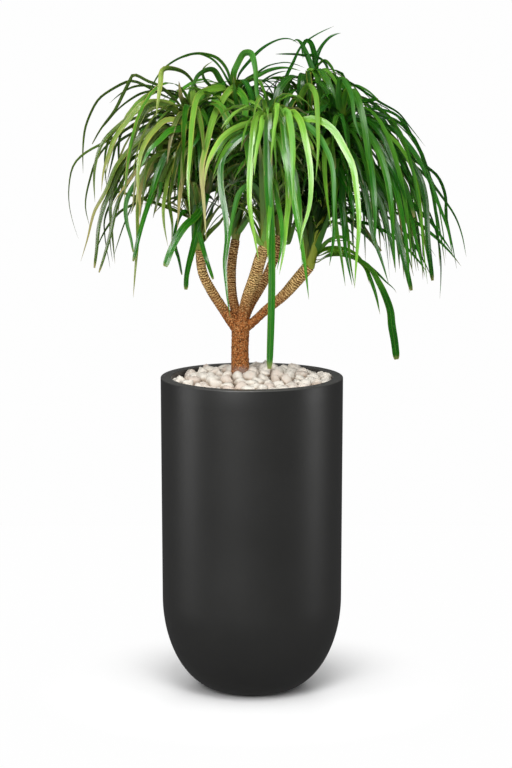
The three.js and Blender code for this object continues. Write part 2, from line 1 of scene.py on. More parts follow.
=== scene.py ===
# The looks of a branched ponytail palm in a tall round-bottomed planter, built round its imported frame.
# Blender's lengths are metres with +Z up, and the plant faces -Y. Routes and sizes of the plant are in
# millimetres, as a grower would measure them, and are scaled when a mesh is made.
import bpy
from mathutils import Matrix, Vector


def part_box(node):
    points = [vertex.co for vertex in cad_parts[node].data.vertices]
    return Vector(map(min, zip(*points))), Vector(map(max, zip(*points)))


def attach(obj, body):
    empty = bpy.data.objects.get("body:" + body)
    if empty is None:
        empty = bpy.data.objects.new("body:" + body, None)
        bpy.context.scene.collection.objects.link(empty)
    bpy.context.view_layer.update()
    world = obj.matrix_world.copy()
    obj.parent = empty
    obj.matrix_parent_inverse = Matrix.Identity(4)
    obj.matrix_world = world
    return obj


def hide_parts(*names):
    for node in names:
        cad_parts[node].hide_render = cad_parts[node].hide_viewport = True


bl_info = {
    "name": "Potted ponytail palm",
    "version": (1, 0, 0),
    "blender": (4, 5, 0),
    "location": "3D View > Sidebar > Palm",
    "description": "Planter, pebbles, bark and strap leaves of a branched indoor palm",
    "category": "Add Mesh",
}

import math

import bpy
import numpy as np
from bpy.props import FloatProperty, FloatVectorProperty, IntProperty, PointerProperty
from mathutils import Vector, noise

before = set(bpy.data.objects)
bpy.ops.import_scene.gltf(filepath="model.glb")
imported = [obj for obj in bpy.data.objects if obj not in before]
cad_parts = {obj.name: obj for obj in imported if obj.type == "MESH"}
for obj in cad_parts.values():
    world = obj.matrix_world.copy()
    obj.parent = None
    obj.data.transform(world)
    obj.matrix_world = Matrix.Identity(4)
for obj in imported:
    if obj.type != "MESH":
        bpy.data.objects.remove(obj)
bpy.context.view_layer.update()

MM = 0.001

# Planter: the top of its box in the frame, the rounding of its foot and the steps of its outline
POT_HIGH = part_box("planter")[1]
LOW_RADIUS_SHARE = 0.99
CORNER_REACH = 0.130
CORNER_HEIGHT = 0.208
FLOOR_THICKNESS = 0.040
WALL_STEPS = 12
CORNER_STEPS = 30
INNER_CORNER_STEPS = 20
RIM_STEPS = 5

# Pebble bed: its lengths are in millimetres, and the others are shares
BED_EDGE = 685
BED_RISE = 20
BED_LEAN = 0.12
BED_RADIUS = 177
BED_WALL_GAP = 12
UNDER_REACH = 0.72
TOP_DROP = 2
UNDER_DROP = 21
BED_JITTER = 6
SETTLE_ROUNDS = 80
SETTLE_SHARE = 0.35
TRUNK_CLEARANCE = 0.42

# Trunk and bare branches: points and the radius at each
TRUNK = [(-25, 5, 540, 9), (-25, 5, 640, 24), (-25, 5, 705, 20.5), (-26, 5, 760, 19), (-24, 5, 822, 20)]
BRANCHES = {
    "left": [(-26, 5, 800, 15), (-45, 4, 822, 12.2), (-65, 0, 852, 10.8), (-86, -7, 886, 10.8),
             (-107, -14, 930, 10.2), (-113, -20, 982, 9.6)],
    "back_left": [(-24, 6, 800, 14), (-33, 16, 832, 11.5), (-42, 32, 870, 10.2), (-45, 50, 910, 10),
                  (-43, 65, 950, 10), (-36, 78, 991, 9.8)],
    "front": [(-24, 4, 800, 15), (-19, -6, 836, 12.2), (-10, -22, 877, 11.8), (6, -46, 922, 13.2),
              (17, -64, 962, 13), (28, -80, 998, 12)],
    "back_right": [(-24, 6, 800, 13), (-15, 14, 829, 11), (-3, 25, 855, 10.2), (24, 42, 899, 10),
                   (51, 60, 958, 10), (60, 70, 1001, 9.8)],
    "right": [(-24, 5, 798, 12), (4, 1, 821, 9.8), (29, -4, 845, 9.8), (66, -12, 877, 11.2),
              (94, -19, 909, 13), (124, -25, 946, 13.4)],
}

# Where they fork, above what height their bark stands out, which of them lead to the back crowns, and how
# finely they are made and joined
FORK_HEIGHT = 815
SOIL_RISE = 640
BACK_LIMBS = (2, 4)
LIMB_SIDES = 28
TRUNK_STEPS = 44
BRANCH_STEPS = 40
EASE_ROUNDS = 6
EASE_HEIGHT = 20

# Bark: the sizes of its bumps, and the height over which rings take over from the cork above the fork, a
# branch grows pale, and the damp at the foot fades
COARSE_BUMP = 16
FINE_BUMP = 5.2
CORK_BUMP = 2.7
CORK_RUN = 40
PALE_RUN = 180
DAMP_RUN = 16

# The growing tip of each crown's leafy stem
CROWN_TIPS = {
    "left": (-129, -22, 1272),
    "back_left": (-37, 96, 1319),
    "front": (34, -100, 1215),
    "back_right": (128, 88, 1360),
    "right": (196, -36, 1255),
}

# How each crown's leaves are coloured: middle tone from blue-green to yellow-green, its spread, the
# share of dry leaves, yellow margins, how olive, how light and how glossy they are, and a slot name
CROWN_LOOKS = {
    "left": (0.50, 0.32, 0.44, 0.55, 0.82, 0.88, 0.55, "leaf_olive"),
    "back_left": (0.38, 0.26, 0.08, 0.12, 0.18, 1.02, 0.9, "leaf_deep"),
    "front": (0.66, 0.26, 0.10, 0.18, 0.1, 1.1, 1.0, "leaf_bright"),
    "back_right": (0.20, 0.18, 0.04, 0.06, 0.2, 0.78, 0.6, "leaf_deep"),
    "right": (0.27, 0.20, 0.02, 0.06, 0.08, 0.69, 0.45, "leaf_blue"),
}

# The rule for the many leaves, close to the one that the frame's leaves follow
FIRST_LEAF = 0.05
LOWEST_LEAVES = 0.4
CANOPY_MIDDLE = (31, 0)
CANOPY_WIDE = 430
CANOPY_DEEP = 382
CANOPY_FRONT = 235
FRONT_TURN = 1.4
PLACE_STEP = 0.7548776662
TURN_STEP = 0.569840291
SHORTEST_LEAVES = (150, 260)
LONGEST_LEAF = 640
HALF_WIDTHS = (5.6, 8.2)
CUT_CHANCE = 0.12
LEAF_STEPS = 28
SEED = 20417
BARK_CLEARANCE = 8
CELL_MARGIN = 12.5
CELL_SOFTNESS = 14
CELL_SHARE = 0.35
LEAF_LOWEST = 745
SPARE_RISE = 170
LEAST_ROOM = 12

# Where along a leaf its blade has points: on the many leaves, and on those that stand out, and the
# least half width and the least width that shows of the latter
LEAF_STOPS = np.array(
    [0, 0.03, 0.06, 0.095, 0.13, 0.17, 0.21, 0.255, 0.305, 0.36, 0.43, 0.51, 0.6, 0.7, 0.8, 0.9, 0.96, 1]
)
FINE_STOPS = np.concatenate([np.linspace(0, 0.96, 33), [0.98, 1.0]])
LEAST_HALF = 5.5
LEAST_SHOWN = 5.8

# The canopy's inside is open at its top and at its foot, and darker between them as painted shade. Each
# change starts at the first height and takes the second.
OPEN_TOP = (1190, 170)
OPEN_FOOT = (1000, 70)

# Clasping leaves at a crown's foot: shortest and longest, least and most half width, and how far from
# the stem's middle they root
SHEATH_LENGTHS = (130, 260)
SHEATH_HALVES = (6, 8.5)
SHEATH_ROOT = 4.5

# Heights across the plant, seen from the front: where most leaves end, and the canopy's top
FRINGE = [(-400, 1060), (-340, 1040), (-260, 1050), (-150, 1045), (-90, 1060), (0, 1065), (60, 1055),
          (115, 1100), (165, 1090), (190, 1020), (240, 960), (300, 915), (350, 900), (430, 935), (470, 985)]
FRINGE_LEAN = 0.16
ROOF = [(-420, 1080), (-390, 1170), (-362, 1260), (-304, 1318), (-190, 1350), (-60, 1345), (80, 1352),
        (160, 1372), (206, 1350), (276, 1310), (333, 1262), (379, 1195), (421, 1120), (467, 950)]
ROOF_BACK_DROP = 90
ROOF_BACK = 300

# Colours of small things: grains in the soil, painted shade on the stones' lower sides, flecks, ridges
# and damp on the bark, the leaf's pale foot and duller underside, and the leafy stem
SOIL_GRAIN = (0.38, 0.33, 0.27)
STONE_UNDER_SHADE = (0.34, 0.235, 0.15)
CORK_FLECK = (0.66, 0.35, 0.13)
BARK_RIDGE = (1.0, 0.68, 0.30)
DAMP_BARK = (0.27, 0.22, 0.20)
LEAF_FOOT = (0.34, 0.40, 0.045)
LEAF_UNDER = (0.20, 0.30, 0.14)
STEM_GREEN = (0.30, 0.36, 0.035)

# A leaf's tone from 0 to 1 is a place on a row of four greens. These are the olive ones.
TONE_PLACES = (0.0, 0.38, 0.72, 1.0)
OLIVE_GREENS = [(0.018, 0.026, 0.005), (0.070, 0.105, 0.018), (0.170, 0.240, 0.040), (0.360, 0.450, 0.090)]

# Floor: half its width, where it fades into the white surround, and how white that is
FLOOR_REACH = 1.7
FLOOR_FADE = (0.22, 0.5)
WHITE = 0.99

# Camera, fitted to the planter's rim and foot
CAMERA_PLACE = (0.0, -6.0, 1.651)
CAMERA_AIM = (0.0091, 0.0, 0.6825)
CAMERA_LENS = 129.9
CAMERA_SENSOR = 36.0

# Leaves that stand out from the front, by crown. Each row: place on the stem, width that shows, tone,
# dryness, yellow margin, share of the blade kept, depth where it shows first and where it ends, and its
# route as it shows from the front, as (across, height) on a plane through the rim's middle that faces
# the camera. A pair of widths or tones is the one near the root and the one further out.
LEFT_LEAVES = [
    (0.98, (6, 16.5), (0.2, 0.92), 0.3, 0.5, 1, -40, -150, [(-120, 1330), (-140, 1365), (-165, 1380),
     (-195, 1380), (-200, 1350), (-205, 1315), (-210, 1275)]),
    (0.97, 12, 0.4, 0.85, 0.2, 1, -40, -90, [(-145, 1300), (-155, 1320), (-160, 1355)]),
    (0.97, 4.5, 0.22, 0.15, 0.1, 1, -30, -40, [(-160, 1305), (-200, 1325), (-235, 1345), (-265, 1355),
     (-300, 1340), (-335, 1315), (-350, 1290), (-365, 1250), (-370, 1205), (-370, 1150)]),
    (0.9, 4.5, 0.3, 0.1, 0.2, 1, -40, -70, [(-200, 1290), (-245, 1265), (-285, 1240), (-320, 1220),
     (-365, 1195), (-390, 1170), (-400, 1125), (-400, 1080), (-390, 1035), (-380, 1005)]),
    (0.95, 8, 0.25, 0.15, 0.1, 0.9, -50, -80, [(-175, 1320), (-205, 1345), (-230, 1355), (-260, 1370),
     (-265, 1360), (-280, 1330), (-300, 1290), (-330, 1250), (-350, 1215)]),
    (0.92, 12, 0.8, 0.55, 0.4, 1, -60, -120, [(-180, 1305), (-210, 1310), (-240, 1305), (-270, 1270),
     (-300, 1230), (-315, 1190), (-325, 1155), (-330, 1110)]),
    (0.9, 13, 0.35, 0.6, 0.3, 1, -70, -150, [(-175, 1295), (-200, 1305), (-225, 1300), (-245, 1270),
     (-260, 1230), (-270, 1190), (-275, 1140), (-280, 1090)]),
    (0.8, 12, 0.85, 0.5, 0.9, 1, -80, -200, [(-155, 1265), (-185, 1270), (-210, 1250), (-230, 1225),
     (-245, 1190), (-250, 1150), (-250, 1110), (-255, 1065)]),
    (0.85, 15.5, 0.5, 0, 0.1, 1, -80, -170, [(-135, 1260), (-155, 1250), (-180, 1245), (-200, 1225),
     (-225, 1200), (-245, 1160)]),
    (0.55, 12, 0.6, 0.45, 0.6, 1, -80, -190, [(-180, 1200), (-225, 1170), (-245, 1125), (-250, 1065),
     (-250, 1000), (-255, 940), (-260, 875)]),
    (0.7, 11, 0.55, 0.7, 0.4, 1, -60, -110, [(-200, 1255), (-245, 1225), (-295, 1170), (-320, 1110),
     (-345, 1065), (-360, 1005), (-375, 955)]),
    (0.6, 11, 0.22, 0.2, 0.1, 0.78, -60, -110, [(-225, 1225), (-280, 1170), (-315, 1100), (-335, 1035),
     (-340, 980), (-345, 940)]),
    (0.35, 17, 0.42, 0, 0.1, 0.64, -90, -190, [(-100, 1100), (-112, 1070), (-126, 1052), (-146, 1034),
     (-166, 1003), (-180, 972), (-190, 943)]),
    (0.3, 16, 0.22, 0, 0.1, 0.66, -90, -185, [(-100, 1100), (-115, 1065), (-120, 1025), (-130, 982),
     (-138, 952), (-144, 921), (-145, 892)]),
    (0.1, 6, 0.45, 0.4, 0, 1, -20, 10, [(-125, 1040), (-166, 1066), (-227, 1089), (-267, 1102),
     (-302, 1108), (-322, 1092), (-335, 1062)]),
    (0.5, 3.5, 0.1, 0.1, 0, 1, -40, -30, [(-215, 1105), (-259, 1081), (-284, 1068), (-304, 1048),
     (-320, 1025), (-336, 993), (-344, 962)]),
    (0.6, 8, 0.1, 0.1, 0, 1, -50, -60, [(-250, 1190), (-295, 1130), (-310, 1085), (-310, 1044),
     (-311, 1013), (-309, 982), (-305, 954)]),
    (0.6, 8, 0.1, 0.1, 0, 1, -60, -70, [(-250, 1170), (-300, 1100), (-322, 1050), (-322, 1013), (-318, 982),
     (-313, 956), (-311, 939)]),
    (0.45, 4.5, 0.3, 0.2, 0, 1, -60, -80, [(-235, 1120), (-270, 1060), (-279, 1038), (-288, 1013),
     (-304, 962)]),
    (0.5, 12, 0.1, 0, 0, 1, -80, -190, [(-180, 1175), (-198, 1140), (-200, 1116), (-205, 1091)]),
    (0.55, 10, 0.62, 0.4, 0.2, 1, -90, -200, [(-160, 1200), (-180, 1157), (-188, 1116), (-194, 1075),
     (-192, 1034), (-184, 989)]),
    (0.5, 10, 0.3, 0.2, 0, 1, -80, -180, [(-160, 1175), (-172, 1136), (-182, 1095), (-178, 1064),
     (-174, 1034), (-176, 989)]),
    (0.6, 12, 0.3, 0.85, 0.2, 1, -90, -210, [(-140, 1200), (-148, 1157), (-156, 1116), (-160, 1075),
     (-164, 1025)]),
    (0.2, 7, 0.1, 0, 0, 0.8, -60, -140, [(-150, 1065), (-168, 1020), (-166, 982), (-160, 962),
     (-153, 925)]),
    (0.12, 13, 0.26, 0, 0, 1, -50, -100, [(-118, 1090), (-126, 1054), (-128, 993), (-129, 956)]),
    (0.08, 12, 0.5, 0.6, 0, 1, -30, -50, [(-121, 1075), (-117, 1050), (-114, 1013), (-114, 985)]),
    (0.95, 4.5, 0.16, 0.1, 0, 1, -30, -60, [(-145, 1312), (-185, 1330), (-210, 1340), (-240, 1345),
     (-265, 1340), (-290, 1325), (-312, 1306)]),
    (0.94, 4.5, 0.2, 0.1, 0, 1, -30, -60, [(-160, 1327), (-205, 1333), (-240, 1328), (-270, 1311),
     (-295, 1290), (-318, 1262), (-340, 1238)]),
    (0.9, 9.5, 0.46, 0.25, 0.3, 1, -40, -60, [(-175, 1292), (-215, 1300), (-245, 1292), (-275, 1270),
     (-303, 1246), (-322, 1226), (-334, 1204), (-343, 1170), (-346, 1137), (-344, 1086)]),
    (0.86, 6, 0.14, 0.1, 0, 1, -40, -60, [(-190, 1285), (-225, 1280), (-262, 1270), (-290, 1254),
     (-310, 1232), (-318, 1208), (-322, 1180), (-320, 1140), (-316, 1108)]),
    (0.84, 4, 0.08, 0.1, 0, 1, -40, -50, [(-185, 1275), (-240, 1262), (-285, 1240), (-291, 1216),
     (-291, 1180), (-289, 1140), (-290, 1100)]),
    (0.8, 7, 0.08, 0.1, 0, 1, -50, -60, [(-205, 1262), (-260, 1240), (-296, 1215), (-304, 1186),
     (-311, 1157), (-318, 1130)]),
    (0.72, 4, 0.08, 0.1, 0, 1, -50, -60, [(-210, 1220), (-247, 1205), (-269, 1186), (-290, 1160),
     (-304, 1134), (-315, 1100)]),
    (0.66, 12, 0.4, 0.3, 0.3, 1, -70, -160, [(-160, 1215), (-180, 1194), (-205, 1192), (-222, 1176),
     (-232, 1150), (-237, 1110), (-240, 1075)]),
    (0.7, 10, 0.6, 0.9, 0.2, 1, -60, -120, [(-200, 1220), (-238, 1190), (-250, 1160), (-268, 1135),
     (-290, 1105), (-306, 1080)]),
    (0.28, 12, 0.3, 0, 0.1, 0.8, -90, -180, [(-115, 1080), (-120, 1040), (-110, 995), (-100, 960),
     (-85, 915)]),
    (0.5, 13, 0.7, 0.95, 0.3, 1, -80, -185, [(-190, 1200), (-225, 1155), (-245, 1110), (-245, 1070),
     (-250, 1035)]),
    (0.65, 9.5, 0.22, 0.2, 0.1, 1, -60, -90, [(-225, 1245), (-270, 1200), (-300, 1140), (-310, 1080),
     (-305, 1005), (-300, 950)]),
    (0.45, 9.5, 0.2, 0.25, 0.1, 0.85, -80, -120, [(-225, 1180), (-265, 1140), (-295, 1080), (-310, 1015),
     (-325, 960), (-335, 930)]),
    (0.6, 4.5, 0.25, 0.2, 0.1, 1, -50, -60, [(-225, 1270), (-290, 1235), (-335, 1190), (-355, 1135),
     (-365, 1080), (-355, 1030)]),
    (0.4, 12, 0.3, 0, 0.1, 0.9, -90, -170, [(-200, 1170), (-245, 1140), (-275, 1090), (-275, 1045),
     (-265, 1005), (-260, 975)]),
    (0.55, 14.5, 0.3, 0, 0.1, 0.85, -90, -200, [(-180, 1200), (-205, 1155), (-220, 1100), (-235, 1055),
     (-245, 1020), (-260, 955)]),
    (0.01, 9.5, 0.5, 0.1, 0, 1, -16, -10, [(-110, 992), (-97, 1014), (-84, 1028), (-70, 1041),
     (-55, 1066)]),
    (0.1, 12, 0.4, 0, 0, 1, -16, -30, [(-106, 1024), (-92, 1056), (-84, 1084)]),
    (0.0, 12, 0.5, 0.6, 0.2, 1, -24, -70, [(-119, 990), (-124, 1030), (-121, 1068)]),
    (0.5, 15, 0.08, 0, 0, 1, -30, -80, [(-120, 1190), (-116, 1150), (-110, 1110), (-108, 1060)]),
]
BACK_LEFT_LEAVES = [
    (0.93, 13.5, 0.86, 0.3, 0.6, 1, 0, -250, [(-65, 1340), (-100, 1335), (-120, 1320), (-130, 1270),
     (-135, 1200), (-140, 1130), (-135, 1050)]),
    (0.9, 14.5, 0.92, 0.75, 0.8, 1, -20, -265, [(-45, 1340), (-70, 1305), (-85, 1270), (-100, 1210),
     (-110, 1160), (-105, 1080), (-100, 1000)]),
    (0.97, 14.5, 0.6, 0, 0.2, 1, 10, -245, [(-30, 1335), (-15, 1315), (-15, 1270), (-10, 1200), (-5, 1140),
     (0, 1080)]),
    (0.98, 6.5, 0.3, 0.1, 0.2, 1, 60, -60, [(-45, 1345), (-55, 1380), (-75, 1405), (-105, 1415),
     (-130, 1415), (-160, 1405), (-190, 1385), (-210, 1360), (-225, 1330), (-240, 1310)]),
    (0.97, 6, 0.34, 0, 0.1, 1, 75, 20, [(-50, 1350), (-70, 1385), (-90, 1405), (-120, 1415), (-155, 1405)]),
    (0.99, 14.5, 0.5, 0, 0.1, 0.8, 70, -40, [(-40, 1372), (-31, 1395), (-20, 1415), (-10, 1419), (-2, 1417),
     (3, 1407), (8, 1384), (10, 1354), (12, 1325), (18, 1300)]),
    (0.99, 7, 0.08, 0, 0, 1, 90, 75, [(-27, 1370), (-4, 1400), (19, 1424), (43, 1440), (68, 1449),
     (86, 1448), (103, 1438)]),
    (0.96, 10, 0.4, 0, 0.1, 1, 70, 60, [(-24, 1347), (14, 1367), (35, 1378), (59, 1384), (82, 1384),
     (107, 1378)]),
    (0.95, 8, 0.1, 0, 0, 1, 80, 70, [(-14, 1330), (14, 1347), (39, 1365), (59, 1374), (79, 1378)]),
    (0.93, 4.5, 0.1, 0, 0, 1, 80, 70, [(-20, 1352), (14, 1374), (35, 1388), (62, 1395), (78, 1396),
     (96, 1392), (117, 1384)]),
    (0.9, 12, 0.62, 0.35, 0.3, 1, 40, -120, [(-65, 1335), (-100, 1330), (-130, 1340), (-150, 1335)]),
    (0.95, 6.5, 0.3, 0.5, 0.2, 1, 60, -20, [(-85, 1340), (-105, 1360), (-105, 1385), (-85, 1400)]),
    (0.94, 13.5, 0.28, 0.1, 0.1, 1, 60, -90, [(-65, 1350), (-85, 1380), (-115, 1370), (-130, 1345),
     (-145, 1315)]),
    (0.0, 11, 0.7, 0, 0, 1, 76, 30, [(-36, 1008), (-22, 1028), (-8, 1048), (6, 1070)]),
    (0.01, 9.5, 0.62, 0, 0, 1, 76, 40, [(-40, 1010), (-37, 1038), (-22, 1076), (-10, 1110)]),
    (0.6, 16, 0.06, 0, 0, 1, 30, -60, [(-40, 1260), (-34, 1200), (-30, 1140), (-36, 1080)]),
    (0.5, 16, 0.04, 0, 0, 1, 30, -40, [(-58, 1240), (-68, 1190), (-72, 1130), (-74, 1080)]),
    (0.7, 15, 0.08, 0, 0, 1, 40, -20, [(-20, 1285), (-8, 1230), (0, 1170), (4, 1100)]),
    (0.85, 15.5, 0.3, 0, 0, 1, 20, -150, [(-55, 1315), (-85, 1295), (-105, 1265), (-120, 1225),
     (-145, 1190)]),
]
FRONT_LEAVES = [
    (0.8, 13.5, 0.98, 0.55, 0.5, 1, -130, -275, [(5, 1260), (-25, 1255), (-60, 1235), (-85, 1200),
     (-100, 1160), (-105, 1110)]),
    (0.93, 14.5, 0.97, 0.05, 0.3, 1, -130, -285, [(30, 1270), (15, 1285), (5, 1260), (0, 1200), (-5, 1140),
     (-5, 1080), (5, 1015), (15, 955)]),
    (0.9, 13, 0.95, 0, 0.2, 1, -140, -280, [(35, 1265), (25, 1275), (20, 1245), (10, 1200), (5, 1145)]),
    (0.97, 19, 0.34, 0, 0.1, 0.66, -140, -282, [(35, 1260), (35, 1290), (35, 1255), (35, 1200), (35, 1140),
     (38, 1080), (42, 1020), (43, 915), (41, 805), (38, 716)]),
    (0.99, 11, 0.96, 0, 0.2, 1, -140, -262, [(45, 1270), (55, 1305), (55, 1285), (50, 1255), (45, 1210),
     (40, 1170)]),
    (0.92, 16.5, 0.55, 0, 0.2, 1, -140, -288, [(50, 1250), (65, 1285), (70, 1250), (75, 1200), (85, 1140),
     (95, 1070), (105, 1015), (115, 955), (125, 870)]),
    (0.95, 15.5, 0.8, 0, 0.2, 1, -150, -270, [(50, 1265), (75, 1290), (85, 1255), (90, 1200), (90, 1145),
     (90, 1090)]),
    (0.88, 14.5, 0.95, 0, 0.3, 1, -140, -280, [(60, 1250), (85, 1290), (105, 1270), (115, 1235),
     (125, 1185), (130, 1130), (125, 1070), (110, 1020), (105, 980)]),
    (0.72, 15.5, 0.93, 0, 0.2, 1, -150, -262, [(90, 1250), (115, 1270), (145, 1270), (180, 1245),
     (200, 1210), (220, 1170), (230, 1110), (235, 1040), (230, 970), (225, 895)]),
    (0.66, 15.5, 0.42, 0, 0.1, 1, -150, -268, [(75, 1235), (110, 1260), (140, 1240), (160, 1210),
     (175, 1170), (180, 1110), (180, 1030)]),
    (0.6, 14.5, 0.3, 0, 0.2, 1, -150, -270, [(5, 1240), (-25, 1230), (-50, 1205), (-66, 1180), (-68, 1125),
     (-58, 1060), (-54, 1007), (-60, 952), (-57, 911), (-53, 869), (-47, 829)]),
    (0.35, 13, 0.45, 0, 0.1, 1, -150, -262, [(0, 1125), (-25, 1110), (-40, 1060), (-50, 1000), (-55, 955)]),
    (0.55, 13, 0.7, 0, 0.1, 1, -150, -290, [(45, 1170), (40, 1130), (40, 1080), (35, 1015), (35, 955)]),
    (0.5, 12, 0.45, 0, 0.1, 1, -150, -285, [(50, 1135), (55, 1095), (65, 1040), (65, 990), (55, 935)]),
    (0.48, 13, 0.93, 0, 0.2, 1, -150, -282, [(70, 1155), (80, 1100), (75, 1035), (70, 980), (60, 925)]),
    (0.42, 13.5, 0.5, 0, 0.1, 1, -150, -276, [(85, 1170), (100, 1110), (105, 1055), (110, 990),
     (110, 940)]),
    (0.99, 13.5, 0.2, 0.35, 0, 1, -20, -100, [(-25, 1285), (-35, 1315), (-40, 1365)]),
    (0.0, 12, 0.95, 0, 0.3, 1, -90, -120, [(22, 990), (8, 1012), (-4, 1045), (-16, 1060)]),
    (0.0, 13.5, 0.9, 0, 0.3, 1, -90, -110, [(26, 996), (30, 1022), (32, 1050), (40, 1075)]),
]
BACK_RIGHT_LEAVES = [
    (0.9, 13, 0.97, 0, 0.2, 1, 20, -262, [(100, 1305), (115, 1335), (125, 1345), (140, 1325), (145, 1245),
     (145, 1190), (140, 1135)]),
    (0.6, 8, 0.2, 0, 0, 1, 84, 90, [(76, 1270), (66, 1325), (76, 1365), (90, 1394), (107, 1430),
     (123, 1446), (150, 1463), (180, 1477)]),
    (0.99, 10, 0.1, 0, 0, 1, 80, 85, [(139, 1394), (145, 1416), (156, 1436), (172, 1453), (184, 1459),
     (195, 1462)]),
    (0.98, 8, 0.06, 0, 0, 1, 75, 60, [(137, 1410), (117, 1411), (98, 1414), (74, 1415), (51, 1415)]),
    (0.99, 13, 0.32, 0, 0, 1, 74, 60, [(133, 1378), (125, 1402), (115, 1426), (107, 1441), (98, 1447),
     (90, 1443)]),
    (0.97, 13, 0.16, 0, 0, 1, 84, 70, [(141, 1378), (139, 1400), (135, 1424), (127, 1443), (119, 1445),
     (112, 1432), (112, 1405)]),
    (0.98, 7, 0.1, 0, 0, 1, 80, 40, [(145, 1405), (156, 1399), (164, 1387), (168, 1370), (167, 1351)]),
    (0.97, 6.5, 0.5, 0.3, 0.1, 1, 70, 20, [(158, 1400), (172, 1389), (182, 1372), (190, 1358)]),
    (0.95, 11, 0.86, 0, 0.2, 1, 60, -40, [(123, 1379), (145, 1372), (162, 1358), (174, 1341), (180, 1317),
     (184, 1291), (184, 1273)]),
    (0.96, 5.5, 0.4, 0.1, 0.1, 1, 60, 0, [(195, 1343), (217, 1345), (231, 1344), (249, 1336), (264, 1325),
     (277, 1312), (284, 1299), (288, 1288)]),
    (0.92, 14.5, 0.3, 0, 0.1, 1, 60, -60, [(150, 1340), (180, 1355), (215, 1330), (240, 1285), (265, 1235),
     (280, 1180)]),
    (0.94, 6.5, 0.7, 0.2, 0.2, 1, 60, -40, [(140, 1365), (160, 1380), (185, 1350), (195, 1310),
     (195, 1255)]),
    (0.01, 9.5, 0.68, 0.1, 0.2, 1, 60, -30, [(76, 990), (95, 1040), (116, 1100), (140, 1128), (166, 1142)]),
    (0.02, 12, 0.6, 0.1, 0, 1, 60, 0, [(74, 1000), (84, 1050), (92, 1100), (112, 1140)]),
    (0.5, 16, 0.05, 0, 0, 1, 50, -20, [(105, 1240), (102, 1190), (98, 1130), (96, 1070)]),
    (0.55, 16, 0.05, 0, 0, 1, 50, 0, [(130, 1250), (134, 1200), (132, 1130), (128, 1060)]),
]
